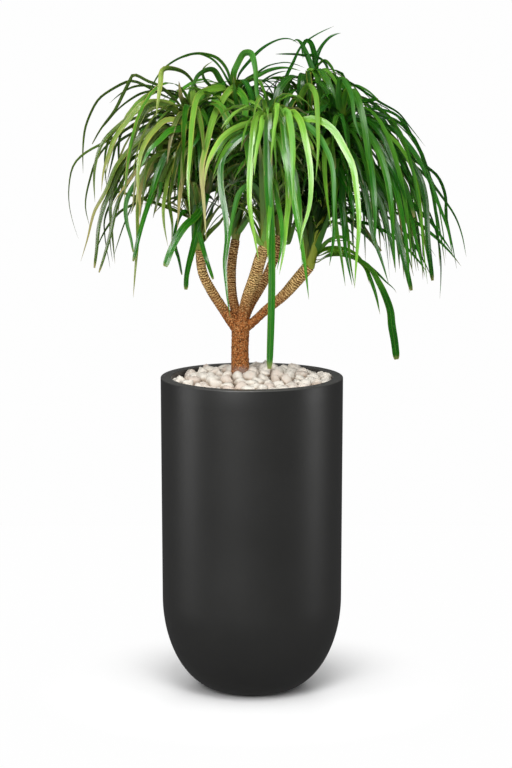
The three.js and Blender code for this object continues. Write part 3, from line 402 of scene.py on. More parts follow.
RIGHT_LEAVES = [
    (0.98, 13, 0.45, 0, 0.1, 1, -60, -190, [(190, 1325), (195, 1360), (210, 1345), (220, 1315), (225, 1270),
     (240, 1225)]),
    (0.8, 11, 0.9, 0, 0.1, 1, -90, -255, [(170, 1225), (160, 1200), (160, 1145), (165, 1090), (175, 1020)]),
    (0.6, 15.5, 0.38, 0, 0.1, 1, -90, -255, [(185, 1185), (180, 1150), (180, 1090), (180, 1015),
     (170, 945)]),
    (0.99, 4.5, 0.14, 0.05, 0, 1, -20, -20, [(190, 1320), (185, 1345), (205, 1355), (225, 1345),
     (255, 1325), (285, 1305), (320, 1285), (345, 1255), (380, 1210)]),
    (0.97, 4, 0.1, 0.05, 0, 1, -30, -60, [(250, 1292), (289, 1290), (306, 1285), (322, 1275), (336, 1260),
     (349, 1235), (360, 1213), (369, 1195), (377, 1169), (386, 1154), (405, 1116)]),
    (0.96, 10.5, 0.4, 0, 0, 0.62, -20, -60, [(222, 1305), (240, 1309), (258, 1312), (277, 1315)]),
    (0.93, 11, 0.12, 0, 0, 1, -50, -90, [(220, 1294), (244, 1292), (264, 1287), (286, 1279), (306, 1272),
     (331, 1262)]),
    (0.94, 9, 0.1, 0, 0, 1, -30, -90, [(225, 1289), (257, 1288), (273, 1279), (291, 1266), (300, 1244),
     (308, 1220), (313, 1206), (320, 1189), (331, 1162), (342, 1143), (358, 1119)]),
    (0.9, 9, 0.6, 0, 0, 1, -60, -130, [(235, 1254), (258, 1250), (277, 1241), (289, 1224), (298, 1206),
     (308, 1184), (315, 1162), (320, 1143)]),
    (0.91, 13, 0.14, 0, 0, 1, -70, -160, [(215, 1272), (235, 1274), (253, 1254), (264, 1226), (277, 1202),
     (291, 1184), (306, 1162), (322, 1130), (340, 1085)]),
    (0.7, 13, 0.3, 0, 0, 1, -110, -200, [(197, 1150), (197, 1085), (201, 1044), (203, 1003), (206, 972),
     (212, 941), (220, 902)]),
    (0.75, 15, 0.16, 0, 0, 1, -100, -190, [(190, 1165), (199, 1140), (212, 1116), (220, 1085),
     (224, 1040)]),
    (0.05, (4, 12), (0.85, 0.42), 0.3, 0.1, 1, -28, -90, [(146, 957), (171, 970), (201, 968), (228, 960),
     (246, 945), (254, 930), (262, 910), (272, 880), (281, 837)]),
    (0.06, 4, (0.85, 0.3), 0.3, 0, 1, -28, -60, [(150, 967), (170, 976), (201, 974), (240, 955), (272, 931),
     (293, 910), (313, 892), (317, 884)]),
    (0.82, 4.5, 0.05, 0.1, 0, 1, -20, 10, [(250, 1235), (310, 1180), (360, 1110), (392, 1055), (406, 1009),
     (412, 978), (414, 950), (414, 910), (412, 872)]),
    (0.8, 7, 0.08, 0, 0, 1, -20, 0, [(280, 1235), (330, 1200), (375, 1165), (394, 1157), (410, 1138),
     (420, 1116), (426, 1085), (424, 1064), (432, 1023), (441, 982), (449, 939)]),
    (0.9, 4.5, 0.12, 0.05, 0, 1, -30, -20, [(235, 1235), (280, 1205), (330, 1185), (365, 1175), (395, 1155),
     (415, 1130), (425, 1090), (430, 1020)]),
    (0.85, 3.5, 0.2, 0.05, 0, 1, -30, 0, [(260, 1225), (325, 1190), (380, 1145), (415, 1100), (445, 1055),
     (460, 1015), (470, 965)]),
    (0.7, 13, 0.1, 0.05, 0, 1, -40, -40, [(250, 1175), (301, 1130), (325, 1110), (347, 1087), (368, 1064),
     (390, 1046), (410, 1017), (426, 995), (441, 972)]),
    (0.04, (4, 20), (0.7, 0.24), 0, 0.1, 0.66, -28, -110, [(141, 948), (152, 958), (168, 965), (190, 968),
     (214, 965), (238, 955), (260, 937), (276, 910), (289, 884), (303, 845), (306, 815), (312, 780),
     (317, 737)]),
    (0.72, 15.5, 0.22, 0, 0.1, 0.78, -70, -190, [(220, 1225), (250, 1185), (280, 1130), (305, 1070),
     (320, 1015), (335, 955), (350, 890)]),
    (0.76, 13, 0.1, 0, 0.1, 0.72, -60, -130, [(265, 1235), (320, 1205), (361, 1157), (374, 1126),
     (382, 1085), (384, 1044), (386, 1003), (390, 962), (396, 912)]),
    (0.84, 16, 0.4, 0, 0.1, 1, -80, -235, [(215, 1250), (245, 1240), (255, 1200), (265, 1135), (270, 1070),
     (270, 990)]),
    (0.88, 15.5, 0.48, 0, 0.1, 1, -80, -225, [(220, 1260), (250, 1245), (275, 1205), (295, 1145),
     (305, 1080), (310, 1000), (315, 930)]),
    (0.8, 15.5, 0.44, 0, 0.1, 1, -80, -200, [(230, 1245), (265, 1225), (295, 1180), (315, 1115),
     (330, 1050), (340, 980), (345, 885)]),
    (0.78, 13.5, 0.36, 0, 0.1, 1, -70, -160, [(240, 1230), (290, 1195), (325, 1140), (345, 1070),
     (360, 1000), (380, 920)]),
    (0.86, 8, 0.8, 0, 0.2, 1, -70, -150, [(250, 1255), (305, 1230), (340, 1185), (360, 1130), (370, 1065),
     (375, 990), (385, 905)]),
    (0.92, 11, 0.34, 0, 0.1, 1, -50, -90, [(240, 1270), (305, 1250), (350, 1205), (385, 1145), (410, 1080),
     (430, 1025), (440, 965)]),
    (0.66, 13, 0.3, 0, 0.1, 1, -70, -175, [(215, 1200), (240, 1145), (255, 1080), (265, 1015), (285, 955),
     (300, 905)]),
    (0.5, 9.5, 0.55, 0.1, 0.2, 1, -80, -200, [(190, 1145), (180, 1090), (185, 1030), (195, 970),
     (205, 900)]),
    (0.46, 9.5, 0.5, 0.1, 0.2, 1, -80, -190, [(205, 1145), (200, 1080), (210, 1015), (215, 955),
     (225, 900)]),
    (0.02, 6.5, 0.66, 0, 0, 1, -26, -60, [(131, 963), (133, 1018), (137, 1058), (151, 1097), (157, 1127)]),
    (0.03, 13, 0.62, 0, 0, 1, -28, -90, [(135, 967), (151, 1006), (165, 1046), (172, 1080)]),
    (0.02, 9.5, 0.8, 0.1, 0, 1, -24, -70, [(137, 967), (155, 988), (174, 1004), (200, 1008), (232, 980)]),
    (0.01, 8, 0.8, 0.2, 0, 1, -24, 30, [(147, 973), (162, 982), (190, 984), (221, 975), (244, 950),
     (258, 905)]),
]
STANDOUT_LEAVES = {
    "left": LEFT_LEAVES,
    "back_left": BACK_LEFT_LEAVES,
    "front": FRONT_LEAVES,
    "back_right": BACK_RIGHT_LEAVES,
    "right": RIGHT_LEAVES,
}


class Wire:
    """An output socket that takes part in arithmetic. Each sum or product adds a Math node."""

    def __init__(self, nodes, socket):
        self.nodes = nodes
        self.socket = socket

    def math(self, operation, *values):
        return self.nodes.node("ShaderNodeMath", {"operation": operation}, dict(enumerate(values)))

    def __add__(self, other):
        return self.math("ADD", self, other)

    def __sub__(self, other):
        return self.math("SUBTRACT", self, other)

    def __rsub__(self, other):
        return self.math("SUBTRACT", other, self)

    def __mul__(self, other):
        return self.math("MULTIPLY", self, other)

    def __abs__(self):
        return self.math("ABSOLUTE", self)

    __radd__ = __add__
    __rmul__ = __mul__

    def fraction(self):
        return self.math("FRACT", self)

    def rising(self, low, high):
        """0 below low, 1 above high, and a smooth step between them."""
        sockets = {"Value": self, "From Min": low, "From Max": high}
        return self.nodes.node("ShaderNodeMapRange", {"interpolation_type": "SMOOTHSTEP"}, sockets)


def find_socket(sockets, key):
    """A socket by its number, its identifier or its name."""
    if isinstance(key, int):
        return sockets[key]
    named = [s for s in sockets if s.identifier == key] or [s for s in sockets if s.name == key and s.enabled]
    return named[0]


class Nodes:
    """A node tree that is filled through one method."""

    def __init__(self, tree):
        self.tree = tree

    def node(self, kind, settings, sockets, out=0):
        """Adds a node with its settings first, then its sockets' values or wires, and returns one output."""
        made = self.tree.nodes.new(kind)
        for name, value in settings.items():
            if name == "stops":
                set_stops(made.color_ramp, value)
            else:
                setattr(made, name, value)
        for key, value in sockets.items():
            socket = find_socket(made.inputs, key)
            if isinstance(value, Wire):
                self.tree.links.new(value.socket, socket)
            else:
                socket.default_value = value
        return Wire(self, find_socket(made.outputs, out)) if made.outputs else made

    def attribute(self, name):
        return self.node("ShaderNodeAttribute", {"attribute_name": name}, {}, "Fac")

    def place(self):
        return self.node("ShaderNodeTexCoord", {}, {}, "Object")

    def noise(self, vector, scale, detail=2.0, roughness=0.5):
        sockets = {"Vector": vector, "Scale": scale, "Detail": detail, "Roughness": roughness}
        return self.node("ShaderNodeTexNoise", {}, sockets, "Fac")

    def blend(self, factor, a, b):
        """One colour into another."""
        sockets = {"Factor_Float": factor, "A_Color": a, "B_Color": b}
        return self.node("ShaderNodeMix", {"data_type": "RGBA"}, sockets, "Result_Color")

    def vector(self, operation, sockets, out="Vector"):
        return self.node("ShaderNodeVectorMath", {"operation": operation}, sockets, out)

    def shaded(self, colour, factor):
        """A colour made darker or lighter."""
        plain = colour if isinstance(colour, Wire) else colour[:3]
        return self.vector("SCALE", {0: plain, "Scale": factor})

    def bump(self, height, strength, distance):
        sockets = {"Height": height, "Strength": strength, "Distance": distance}
        return self.node("ShaderNodeBump", {}, sockets, "Normal")


def set_stops(ramp, stops):
    ramp.elements[0].position, ramp.elements[0].color = stops[0]
    ramp.elements[1].position, ramp.elements[1].color = stops[-1]
    for position, colour in stops[1:-1]:
        ramp.elements.new(position).color = colour


def opaque(colour, factor=1.0):
    return (colour[0] * factor, colour[1] * factor, colour[2] * factor, 1.0)


def new_finish(name):
    """A fresh material and its nodes."""
    material = bpy.data.materials.new(name)
    material.use_nodes = True
    material.node_tree.nodes.clear()
    return material, Nodes(material.node_tree)


def surface(nodes, sockets):
    shader = nodes.node("ShaderNodeBsdfPrincipled", {}, sockets, "BSDF")
    nodes.node("ShaderNodeOutputMaterial", {}, {"Surface": shader})


class PlanterSizes(bpy.types.PropertyGroup):
    height: FloatProperty(
        name="Height", description="Floor to rim", default=POT_HIGH.z, subtype="DISTANCE", unit="LENGTH"
    )
    radius: FloatProperty(
        name="Rim radius", description="Outside radius at the rim", default=POT_HIGH.x,
        subtype="DISTANCE", unit="LENGTH",
    )
    rim_width: FloatProperty(
        name="Rim width", description="Thickness of the wall at the rim", default=0.023,
        subtype="DISTANCE", unit="LENGTH",
    )
    rim_round: FloatProperty(
        name="Rim rounding", description="Radius of the rim's soft edges", default=0.003,
        subtype="DISTANCE", unit="LENGTH",
    )
    sides: IntProperty(name="Sides", description="Faces round the planter", default=144, min=16)
    colour: FloatVectorProperty(
        name="Colour", description="Matte charcoal of the wall", default=(0.0120, 0.0120, 0.0113),
        subtype="COLOR", min=0, max=1,
    )
    roughness: FloatProperty(
        name="Roughness", description="How matte the wall is", default=0.42, min=0, max=1, subtype="FACTOR"
    )


class BedSizes(bpy.types.PropertyGroup):
    stone: FloatProperty(
        name="Stone size", description="Middle width of a pebble", default=0.0288,
        subtype="DISTANCE", unit="LENGTH",
    )
    spread: FloatProperty(
        name="Size spread", description="How much larger or smaller a pebble can be", default=0.18,
        min=0, max=0.5, subtype="FACTOR",
    )
    roughen: FloatProperty(
        name="Unevenness", description="How far a pebble's skin departs from an egg shape", default=0.0085,
        subtype="DISTANCE", unit="LENGTH",
    )
    top_count: IntProperty(
        name="Top stones", description="Pebbles in the layer that shows", default=122, min=1
    )
    under_count: IntProperty(name="Lower stones", description="Pebbles under the heap", default=70, min=1)
    seed: IntProperty(name="Seed", description="Draws the places and sizes", default=7, min=0)
    light: FloatVectorProperty(
        name="Pale colour", description="Most stones", default=(0.80, 0.75, 0.67),
        subtype="COLOR", min=0, max=1,
    )
    warm: FloatVectorProperty(
        name="Warm colour", description="Pinkish and sandy stones", default=(0.62, 0.50, 0.42),
        subtype="COLOR", min=0, max=1,
    )
    soil: FloatVectorProperty(
        name="Soil colour", description="Potting soil under the stones", default=(0.042, 0.023, 0.013),
        subtype="COLOR", min=0, max=1,
    )


class BarkSizes(bpy.types.PropertyGroup):
    ring: FloatProperty(
        name="Ring spacing", description="Distance between cracks up a branch", default=0.0054,
        subtype="DISTANCE", unit="LENGTH",
    )
    depth: FloatProperty(
        name="Relief", description="Depth of the bark's cracks", default=0.0016,
        subtype="DISTANCE", unit="LENGTH",
    )
    voxel: FloatProperty(
        name="Skin step", description="Mesh step of the joined limbs", default=0.00135,
        subtype="DISTANCE", unit="LENGTH",
    )
    cork: FloatVectorProperty(
        name="Cork colour", description="Lower trunk", default=(0.37, 0.118, 0.028),
        subtype="COLOR", min=0, max=1,
    )
    straw: FloatVectorProperty(
        name="Branch colour", description="Pale bark of the branches", default=(0.61, 0.40, 0.125),
        subtype="COLOR", min=0, max=1,
    )
    crack: FloatVectorProperty(
        name="Crack colour", description="Dark lines between the rings", default=(0.100, 0.032, 0.004),
        subtype="COLOR", min=0, max=1,
    )


class LeafSizes(bpy.types.PropertyGroup):
    count: IntProperty(name="Leaves", description="Leaves by the rule in each crown", default=176, min=1)
    sheaths: IntProperty(
        name="Clasping leaves", description="Short leaves at each crown's foot", default=18, min=0
    )
    fold: FloatProperty(
        name="Fold", description="How far the margins stand above the midrib, as a share of half the width",
        default=0.17, min=0, max=1, subtype="FACTOR",
    )
    thickness: FloatProperty(
        name="Thickness", description="Half the blade's thickness, as a share of half its width",
        default=0.05, min=0.01, max=0.5, subtype="FACTOR",
    )
    deep: FloatVectorProperty(
        name="Deep green", description="Shaded leaves", default=(0.003, 0.050, 0.0015),
        subtype="COLOR", min=0, max=1,
    )
    middle: FloatVectorProperty(
        name="Middle green", description="Most leaves", default=(0.017, 0.150, 0.007),
        subtype="COLOR", min=0, max=1,
    )
    bright: FloatVectorProperty(
        name="Bright green", description="Young leaves", default=(0.080, 0.295, 0.018),
        subtype="COLOR", min=0, max=1,
    )
    lime: FloatVectorProperty(
        name="Yellow-green", description="The lightest leaves", default=(0.185, 0.43, 0.035),
        subtype="COLOR", min=0, max=1,
    )
    straw: FloatVectorProperty(
        name="Dry colour", description="Dry tips and old leaves", default=(0.34, 0.285, 0.10),
        subtype="COLOR", min=0, max=1,
    )
    margin: FloatVectorProperty(
        name="Margin colour", description="Yellowed leaf edges", default=(0.42, 0.40, 0.06),
        subtype="COLOR", min=0, max=1,
    )


class StageSizes(bpy.types.PropertyGroup):
    floor: FloatVectorProperty(
        name="Floor colour", description="Plain pale floor", default=(0.90, 0.90, 0.90),
        subtype="COLOR", min=0, max=1,
    )
    sky: FloatProperty(
        name="Surround", description="Strength of the even white surround", default=0.10, min=0
    )
    key: FloatProperty(name="Front light", description="Soft lights before the crown", default=78, min=0)
    high: FloatProperty(
        name="High light", description="Soft light above and before the crown", default=66, min=0
    )
    side: FloatProperty(
        name="Side lights", description="Low soft lights at left and right", default=7, min=0
    )
    back: FloatProperty(name="Back light", description="Soft light behind the plant", default=32, min=0)
    sun: FloatProperty(name="Top light", description="Even light from high in front", default=1.95, min=0)


def unit(rows):
    """Rows of vectors at length 1."""
    return rows / np.maximum(np.linalg.norm(rows, axis=-1, keepdims=True), 1e-9)


def mix(a, b, t):
    return a + (b - a) * t


def smooth_step(t):
    x = np.clip(t, 0, 1)
    return x * x * (3 - 2 * x)


def make_draw(seed):
    """Even numbers between 0 and 1 from a whole-number seed, the same draw as the frame's."""
    state = seed

    def draw():
        nonlocal state
        state = (state * 48271) % 2147483647
        return state / 2147483647

    return draw


def curve_through(points, count):
    """Even steps along a smooth curve through the points, with any further column, such as a radius."""
    p = np.array(points, float)
    p = np.vstack([2 * p[0] - p[1], p, 2 * p[-1] - p[-2]])
    knots = np.sqrt(np.maximum(np.linalg.norm(np.diff(p[:, :3], axis=0), axis=1), 1e-6))
    knots = np.concatenate([[0], np.cumsum(knots)])
    fine = [p[1]]
    for i in range(1, len(p) - 2):
        for t in np.linspace(knots[i], knots[i + 1], 13)[1:]:
            fine.append(curve_point(p[i - 1 : i + 3], knots[i - 1 : i + 3], t))
    return even_steps(np.array(fine), count)


def curve_point(p, k, t):
    """A point between the middle two of four, at knot t."""
    a = [mix(p[i], p[i + 1], (t - k[i]) / (k[i + 1] - k[i])) for i in range(3)]
    b = [mix(a[i], a[i + 1], (t - k[i]) / (k[i + 2] - k[i])) for i in range(2)]
    return mix(b[0], b[1], (t - k[1]) / (k[2] - k[1]))


def lengths_along(line):
    """Distance from the start to each point."""
    return np.concatenate([[0], np.cumsum(np.linalg.norm(np.diff(line[:, :3], axis=0), axis=1))])


def even_steps(line, count):
    along = lengths_along(line)
    return at_stops(line, np.linspace(0, 1, count) * along[-1], along)


def at_stops(line, stops, along):
    return np.stack([np.interp(stops, along, line[:, k]) for k in range(line.shape[1])], axis=1)


def new_piece(name, mesh, finish, slot, nodes=()):
    """A finished mesh as a piece that rides with the plant and stands for the given nodes."""
    piece = bpy.data.objects.new(name, mesh)
    bpy.context.scene.collection.objects.link(piece)
    if finish is not None:
        mesh.materials.clear()
        mesh.materials.append(finish)
    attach(piece, "root")
    if nodes:
        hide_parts(*nodes)
    return piece


def mesh_of(name, points, faces=(), edges=()):
    mesh = bpy.data.meshes.new(name)
    mesh.from_pydata([tuple(p) for p in points], [tuple(e) for e in edges], [tuple(f) for f in faces])
    mesh.validate()
    return mesh


def give_values(mesh, name, values):
    """A number or a vector for each point of a mesh."""
    values = np.asarray(values, np.float32)
    kind = "FLOAT_VECTOR" if values.ndim == 2 else "FLOAT"
    attribute = mesh.attributes.new(name, kind, "POINT")
    attribute.data.foreach_set("vector" if values.ndim == 2 else "value", values.ravel())


def points_of(mesh):
    co = np.zeros(len(mesh.vertices) * 3)
    mesh.vertices.foreach_get("co", co)
    return co.reshape(-1, 3)


def settled(mesh, add_modifier):
    """The mesh after one modifier, as a plain mesh of its own."""
    holder = bpy.data.objects.new(mesh.name, mesh)
    bpy.context.scene.collection.objects.link(holder)
    add_modifier(holder)
    evaluated = holder.evaluated_get(bpy.context.evaluated_depsgraph_get())
    made = bpy.data.meshes.new_from_object(evaluated)
    bpy.data.objects.remove(holder)
    return made


def run_tree(mesh, tree, inputs):
    """The mesh after a geometry node tree, with the tree's inputs set by their names."""

    def add_modifier(holder):
        modifier = holder.modifiers.new(tree.name, "NODES")
        modifier.node_group = tree
        for item in tree.interface.items_tree:
            if item.in_out == "INPUT" and item.name in inputs:
                modifier[item.identifier] = inputs[item.name]

    return settled(mesh, add_modifier)


def geometry_tree(name, inputs):
    """A new geometry node tree with named inputs, each a (socket kind, default)."""
    tree = bpy.data.node_groups.new(name, "GeometryNodeTree")
    tree.interface.new_socket("Geometry", in_out="INPUT", socket_type="NodeSocketGeometry")
    tree.interface.new_socket("Geometry", in_out="OUTPUT", socket_type="NodeSocketGeometry")
    for label, (kind, default) in inputs.items():
        tree.interface.new_socket(label, in_out="INPUT", socket_type=kind).default_value = default
    nodes = Nodes(tree)
    source = tree.nodes.new("NodeGroupInput")
    wires = {s.name: Wire(nodes, s) for s in source.outputs if s.name}
    return tree, nodes, wires


def finish_tree(nodes, geometry, material):
    """Every tree ends in plain geometry with its material."""
    plain = nodes.node("GeometryNodeRealizeInstances", {}, {"Geometry": geometry})
    painted = nodes.node("GeometryNodeSetMaterial", {}, {"Geometry": plain, "Material": material})
    output = nodes.tree.nodes.new("NodeGroupOutput")
    nodes.tree.links.new(painted.socket, output.inputs[0])


def named_value(nodes, name, kind="FLOAT"):
    return nodes.node("GeometryNodeInputNamedAttribute", {"data_type": kind}, {"Name": name})


def kept_value(nodes, geometry, name, value):
    """The geometry with a number kept on each of its points."""
    settings = {"data_type": "FLOAT", "domain": "POINT"}
    sockets = {"Geometry": geometry, "Name": name, "Value": value}
    return nodes.node("GeometryNodeStoreNamedAttribute", settings, sockets)


def compared(nodes, operation, a, b):
    return nodes.node("FunctionNodeCompare", {"operation": operation}, {0: a, 1: b})


def smoothed(nodes, geometry):
    """The geometry with soft shading over its faces."""
    sockets = {"Geometry": geometry, "Shade Smooth": True}
    return nodes.node("GeometryNodeSetShadeSmooth", {"domain": "FACE"}, sockets)


# Planter


def quarter(centre, start, turn, steps, radii):
    """Points of a quarter ellipse about a centre, with the end left out."""
    angles = [start + turn * k / steps for k in range(steps)]
    return [(centre[0] + radii[0] * math.cos(a), centre[1] + radii[1] * math.sin(a)) for a in angles]


def planter_outline(sizes):
    """(radius, height) from the middle of the foot, up the outside, over the rim and down inside."""
    r, h, w, e = sizes.radius, sizes.height, sizes.rim_width, sizes.rim_round
    low = r * LOW_RADIUS_SHARE
    half_turn = math.pi / 2
    corner = (CORNER_REACH, CORNER_HEIGHT)
    inner_corner = (CORNER_REACH, CORNER_HEIGHT - FLOOR_THICKNESS)
    shares = [k / WALL_STEPS for k in range(WALL_STEPS)]
    outline = [(0.0, 0.0), (0.5 * (low - CORNER_REACH), 0.0)]
    outline += quarter((low - CORNER_REACH, CORNER_HEIGHT), -half_turn, half_turn, CORNER_STEPS, corner)
    outline += [(mix(low, r, t), mix(CORNER_HEIGHT, h - e, t)) for t in shares]
    outline += quarter((r - e, h - e), 0, half_turn, RIM_STEPS, (e, e))
    outline += [(r - e, h), (r - w / 2, h)]
    outline += quarter((r - w + e, h - e), half_turn, half_turn, RIM_STEPS, (e, e))
    outline += [(mix(r - w, low - w, t), mix(h - e, CORNER_HEIGHT, t)) for t in shares]
    inner_centre = (low - w - CORNER_REACH, CORNER_HEIGHT)
    outline += quarter(inner_centre, 0, -half_turn, INNER_CORNER_STEPS, inner_corner)
    outline += [(low - w - CORNER_REACH, FLOOR_THICKNESS), (0.0, FLOOR_THICKNESS)]
    return outline


def turned(name, outline, sides):
    """A closed round solid from an outline that starts and ends on the axis."""
    points = [(0.0, 0.0, outline[0][1])]
    for radius, height in outline[1:-1]:
        for k in range(sides):
            a = 2 * math.pi * k / sides
            points.append((radius * math.cos(a), radius * math.sin(a), height))
    points.append((0.0, 0.0, outline[-1][1]))
    faces = []
    rings = len(outline) - 2
    for k in range(sides):
        n = (k + 1) % sides
        faces.append((0, 1 + n, 1 + k))
        for i in range(rings - 1):
            a, b = 1 + i * sides, 1 + (i + 1) * sides
            faces.append((a + k, a + n, b + n, b + k))
        last = 1 + (rings - 1) * sides
        faces.append((len(points) - 1, last + k, last + n))
    return mesh_of(name, points, faces)


def planter_finish(sizes):
    """Matte charcoal: faint clouds, a fine mineral grain and a painted highlight on the rim's flat top."""
    material, nodes = new_finish("charcoal_matte")
    place = nodes.place()
    clouds = nodes.noise(place, 7.0, 3.0, 0.55)
    grain = nodes.noise(place, 420.0, 2.0, 0.6)
    specks = nodes.noise(place, 130.0, 1.0)
    tone = 0.86 + clouds * 0.22 + (grain - 0.5) * 0.16
    colour = nodes.shaded(opaque(sizes.colour), tone)
    colour = nodes.blend(specks.rising(0.70, 0.80) * 0.25, colour, opaque(sizes.colour, 1.9))
    # Painted highlight: the rim's flat top is made five times lighter than the wall, as light from above
    # shows it.
    height = nodes.node("ShaderNodeSeparateXYZ", {}, {0: place}, "Z")
    rim = height.rising(sizes.height - 0.0035, sizes.height - 0.0005)
    colour = nodes.blend(rim, colour, opaque(sizes.colour, 5.0))
    relief = grain * 0.6 + specks * 0.4
    sockets = {
        "Base Color": colour,
        "Roughness": clouds * 0.14 + (grain - 0.5) * 0.1 + (sizes.roughness - 0.07),
        "Specular IOR Level": 0.95,
        "Normal": nodes.bump(relief, 0.18, 0.0006),
    }
    surface(nodes, sockets)
    return material


class PALM_OT_planter(bpy.types.Operator):
    """Turns the planter's wall, rim and foot"""

    bl_idname = "palm.make_planter"
    bl_label = "Planter"

    def execute(self, context):
        sizes = context.scene.palm_planter
        mesh = turned("planter_shell", planter_outline(sizes), sizes.sides)
        mesh.shade_smooth()
        new_piece("planter_shell", mesh, planter_finish(sizes), "planter", ["planter"])
        return {"FINISHED"}


# Soil and pebbles


def soil_finish(sizes):
    """Crumbly dark compost with a few pale grains."""
    material, nodes = new_finish("potting_soil")
    place = nodes.place()
    crumbs = nodes.noise(place, 160.0, 4.0, 0.65)
    grains = nodes.noise(place, 330.0, 1.0)
    colour = nodes.shaded(opaque(sizes.soil), 0.4 + crumbs * 1.3)
    colour = nodes.blend(grains.rising(0.70, 0.76), colour, opaque(SOIL_GRAIN))
    sockets = {
        "Base Color": colour,
        "Roughness": 0.95,
        "Normal": nodes.bump(crumbs, 0.8, 0.003),
    }
    surface(nodes, sockets)
    return material


def stone_finish(sizes):
    """Rolled white stone, cream to pinkish by the stone, with veils, pits and painted shade underneath."""
    material, nodes = new_finish("white_pebble")
    place = nodes.place()
    stone = nodes.attribute("stone")
    veil = nodes.noise(place, 95.0, 3.0, 0.6)
    pits = nodes.noise(place, 480.0, 2.0, 0.6)
    warmth = (stone + (veil - 0.5) * 0.9).rising(0.45, 1.15) * 0.8
    colour = nodes.blend(warmth, opaque(sizes.light), opaque(sizes.warm))
    # Painted shade: faces that point sideways or down are blended towards a dusty brown, as if in shade.
    under_shade = 1.0 - nodes.attribute("facing").rising(-0.3, 0.7)
    colour = nodes.blend(under_shade * 0.8, colour, opaque(STONE_UNDER_SHADE))
    colour = nodes.shaded(colour, 0.82 + veil * 0.34 + (pits - 0.5) * 0.12)
    colour = nodes.blend(pits.rising(0.68, 0.78) * 0.5, colour, opaque(sizes.warm, 0.55))
    sockets = {
        "Base Color": colour,
        "Roughness": 0.62 + veil * 0.25,
        "Specular IOR Level": 0.35,
        "Normal": nodes.bump(veil * 0.6 + pits * 0.4, 0.35, 0.0012),
    }
    surface(nodes, sockets)
    return material


def pebble_tree(material):
    """A rounded nugget on every point, each worn to a shape of its own."""
    inputs = {"Unevenness": ("NodeSocketFloat", 0.005), "Wear step": ("NodeSocketFloat", 55.0)}
    tree, nodes, wires = geometry_tree("Pebbles", inputs)
    cube = nodes.node("GeometryNodeMeshCube", {}, {"Size": (1, 1, 1), 1: 4, 2: 4, 3: 4}, "Mesh")
    place = nodes.node("GeometryNodeInputPosition", {}, {})
    half = nodes.vector("SCALE", {0: nodes.vector("NORMALIZE", {0: place}), "Scale": 0.5})
    sockets = {"Factor_Float": 0.8, "A_Vector": place, "B_Vector": half}
    soft = nodes.node("ShaderNodeMix", {"data_type": "VECTOR"}, sockets, "Result_Vector")
    nugget = nodes.node("GeometryNodeSetPosition", {}, {"Geometry": cube, "Position": soft})
    turn = nodes.node("FunctionNodeEulerToRotation", {}, {0: named_value(nodes, "turn", "FLOAT_VECTOR")})
    size = named_value(nodes, "size", "FLOAT_VECTOR")
    sockets = {"Points": wires["Geometry"], "Instance": nugget, "Rotation": turn, "Scale": size}
    stones = nodes.node("GeometryNodeInstanceOnPoints", {}, sockets)
    loose = nodes.node("GeometryNodeRealizeInstances", {}, {"Geometry": stones})
    own = named_value(nodes, "stone") * 40.0
    sockets = {"Vector": place, "W": own, "Scale": wires["Wear step"], "Detail": 1.0}
    wear = nodes.node("ShaderNodeTexNoise", {"noise_dimensions": "4D"}, sockets, "Color")
    middle = nodes.vector("SUBTRACT", {0: wear, 1: (0.5, 0.5, 0.5)})
    shift = nodes.vector("SCALE", {0: middle, "Scale": wires["Unevenness"] * 2.0})
    worn = nodes.node("GeometryNodeSetPosition", {}, {"Geometry": loose, "Offset": shift})
    # Keeps which way each point faces, for the painted shade on the stones' lower sides.
    facing = nodes.node("ShaderNodeSeparateXYZ", {}, {0: nodes.node("GeometryNodeInputNormal", {}, {})}, "Z")
    worn = kept_value(nodes, worn, "facing", facing)
    finish_tree(nodes, smoothed(nodes, worn), material)
    return tree


def spread_stones(rng, count, reach, size, spread):
    """Level places for a layer of stones, pushed apart until they lie side by side."""
    k = np.arange(count) + 0.5
    radius = reach * np.sqrt(k / count)
    turn = k * math.pi * (3 - math.sqrt(5))
    places = np.stack([radius * np.cos(turn), radius * np.sin(turn)], axis=1)
    places += rng.uniform(-0.3, 0.3, places.shape) * size
    widths = size * rng.uniform(1 - spread, 1 + spread, count)
    trunk = np.array(TRUNK[2][:2]) * MM
    trunk_radius = TRUNK[2][3] * MM
    for _ in range(SETTLE_ROUNDS):
        away = places[:, None] - places[None]
        far = np.linalg.norm(away, axis=2) + np.eye(count)
        wanted = 0.5 * (widths[:, None] + widths[None])
        push = np.clip(wanted - far, 0, None) * (1 - np.eye(count))
        places = places + SETTLE_SHARE * (away / far[..., None] * push[..., None]).sum(axis=1)
        off = places - trunk
        near = np.linalg.norm(off, axis=1, keepdims=True)
        clear = trunk_radius + TRUNK_CLEARANCE * widths[:, None]
        places = np.where(near < clear, trunk + off / near * clear, places)
        middle = np.linalg.norm(places, axis=1, keepdims=True)
        edge = BED_RADIUS * MM - 0.5 * widths[:, None]
        places = np.where(middle > edge, places / middle * edge, places)
    return places, widths


def bed_height(places):
    """Height of the heap in metres: low at the wall and highest just behind the middle."""
    share = np.linalg.norm(places, axis=1) / (BED_RADIUS * MM)
    return (BED_EDGE + BED_RISE * (1 - share)) * MM + BED_LEAN * places[:, 1] * (1 - share)


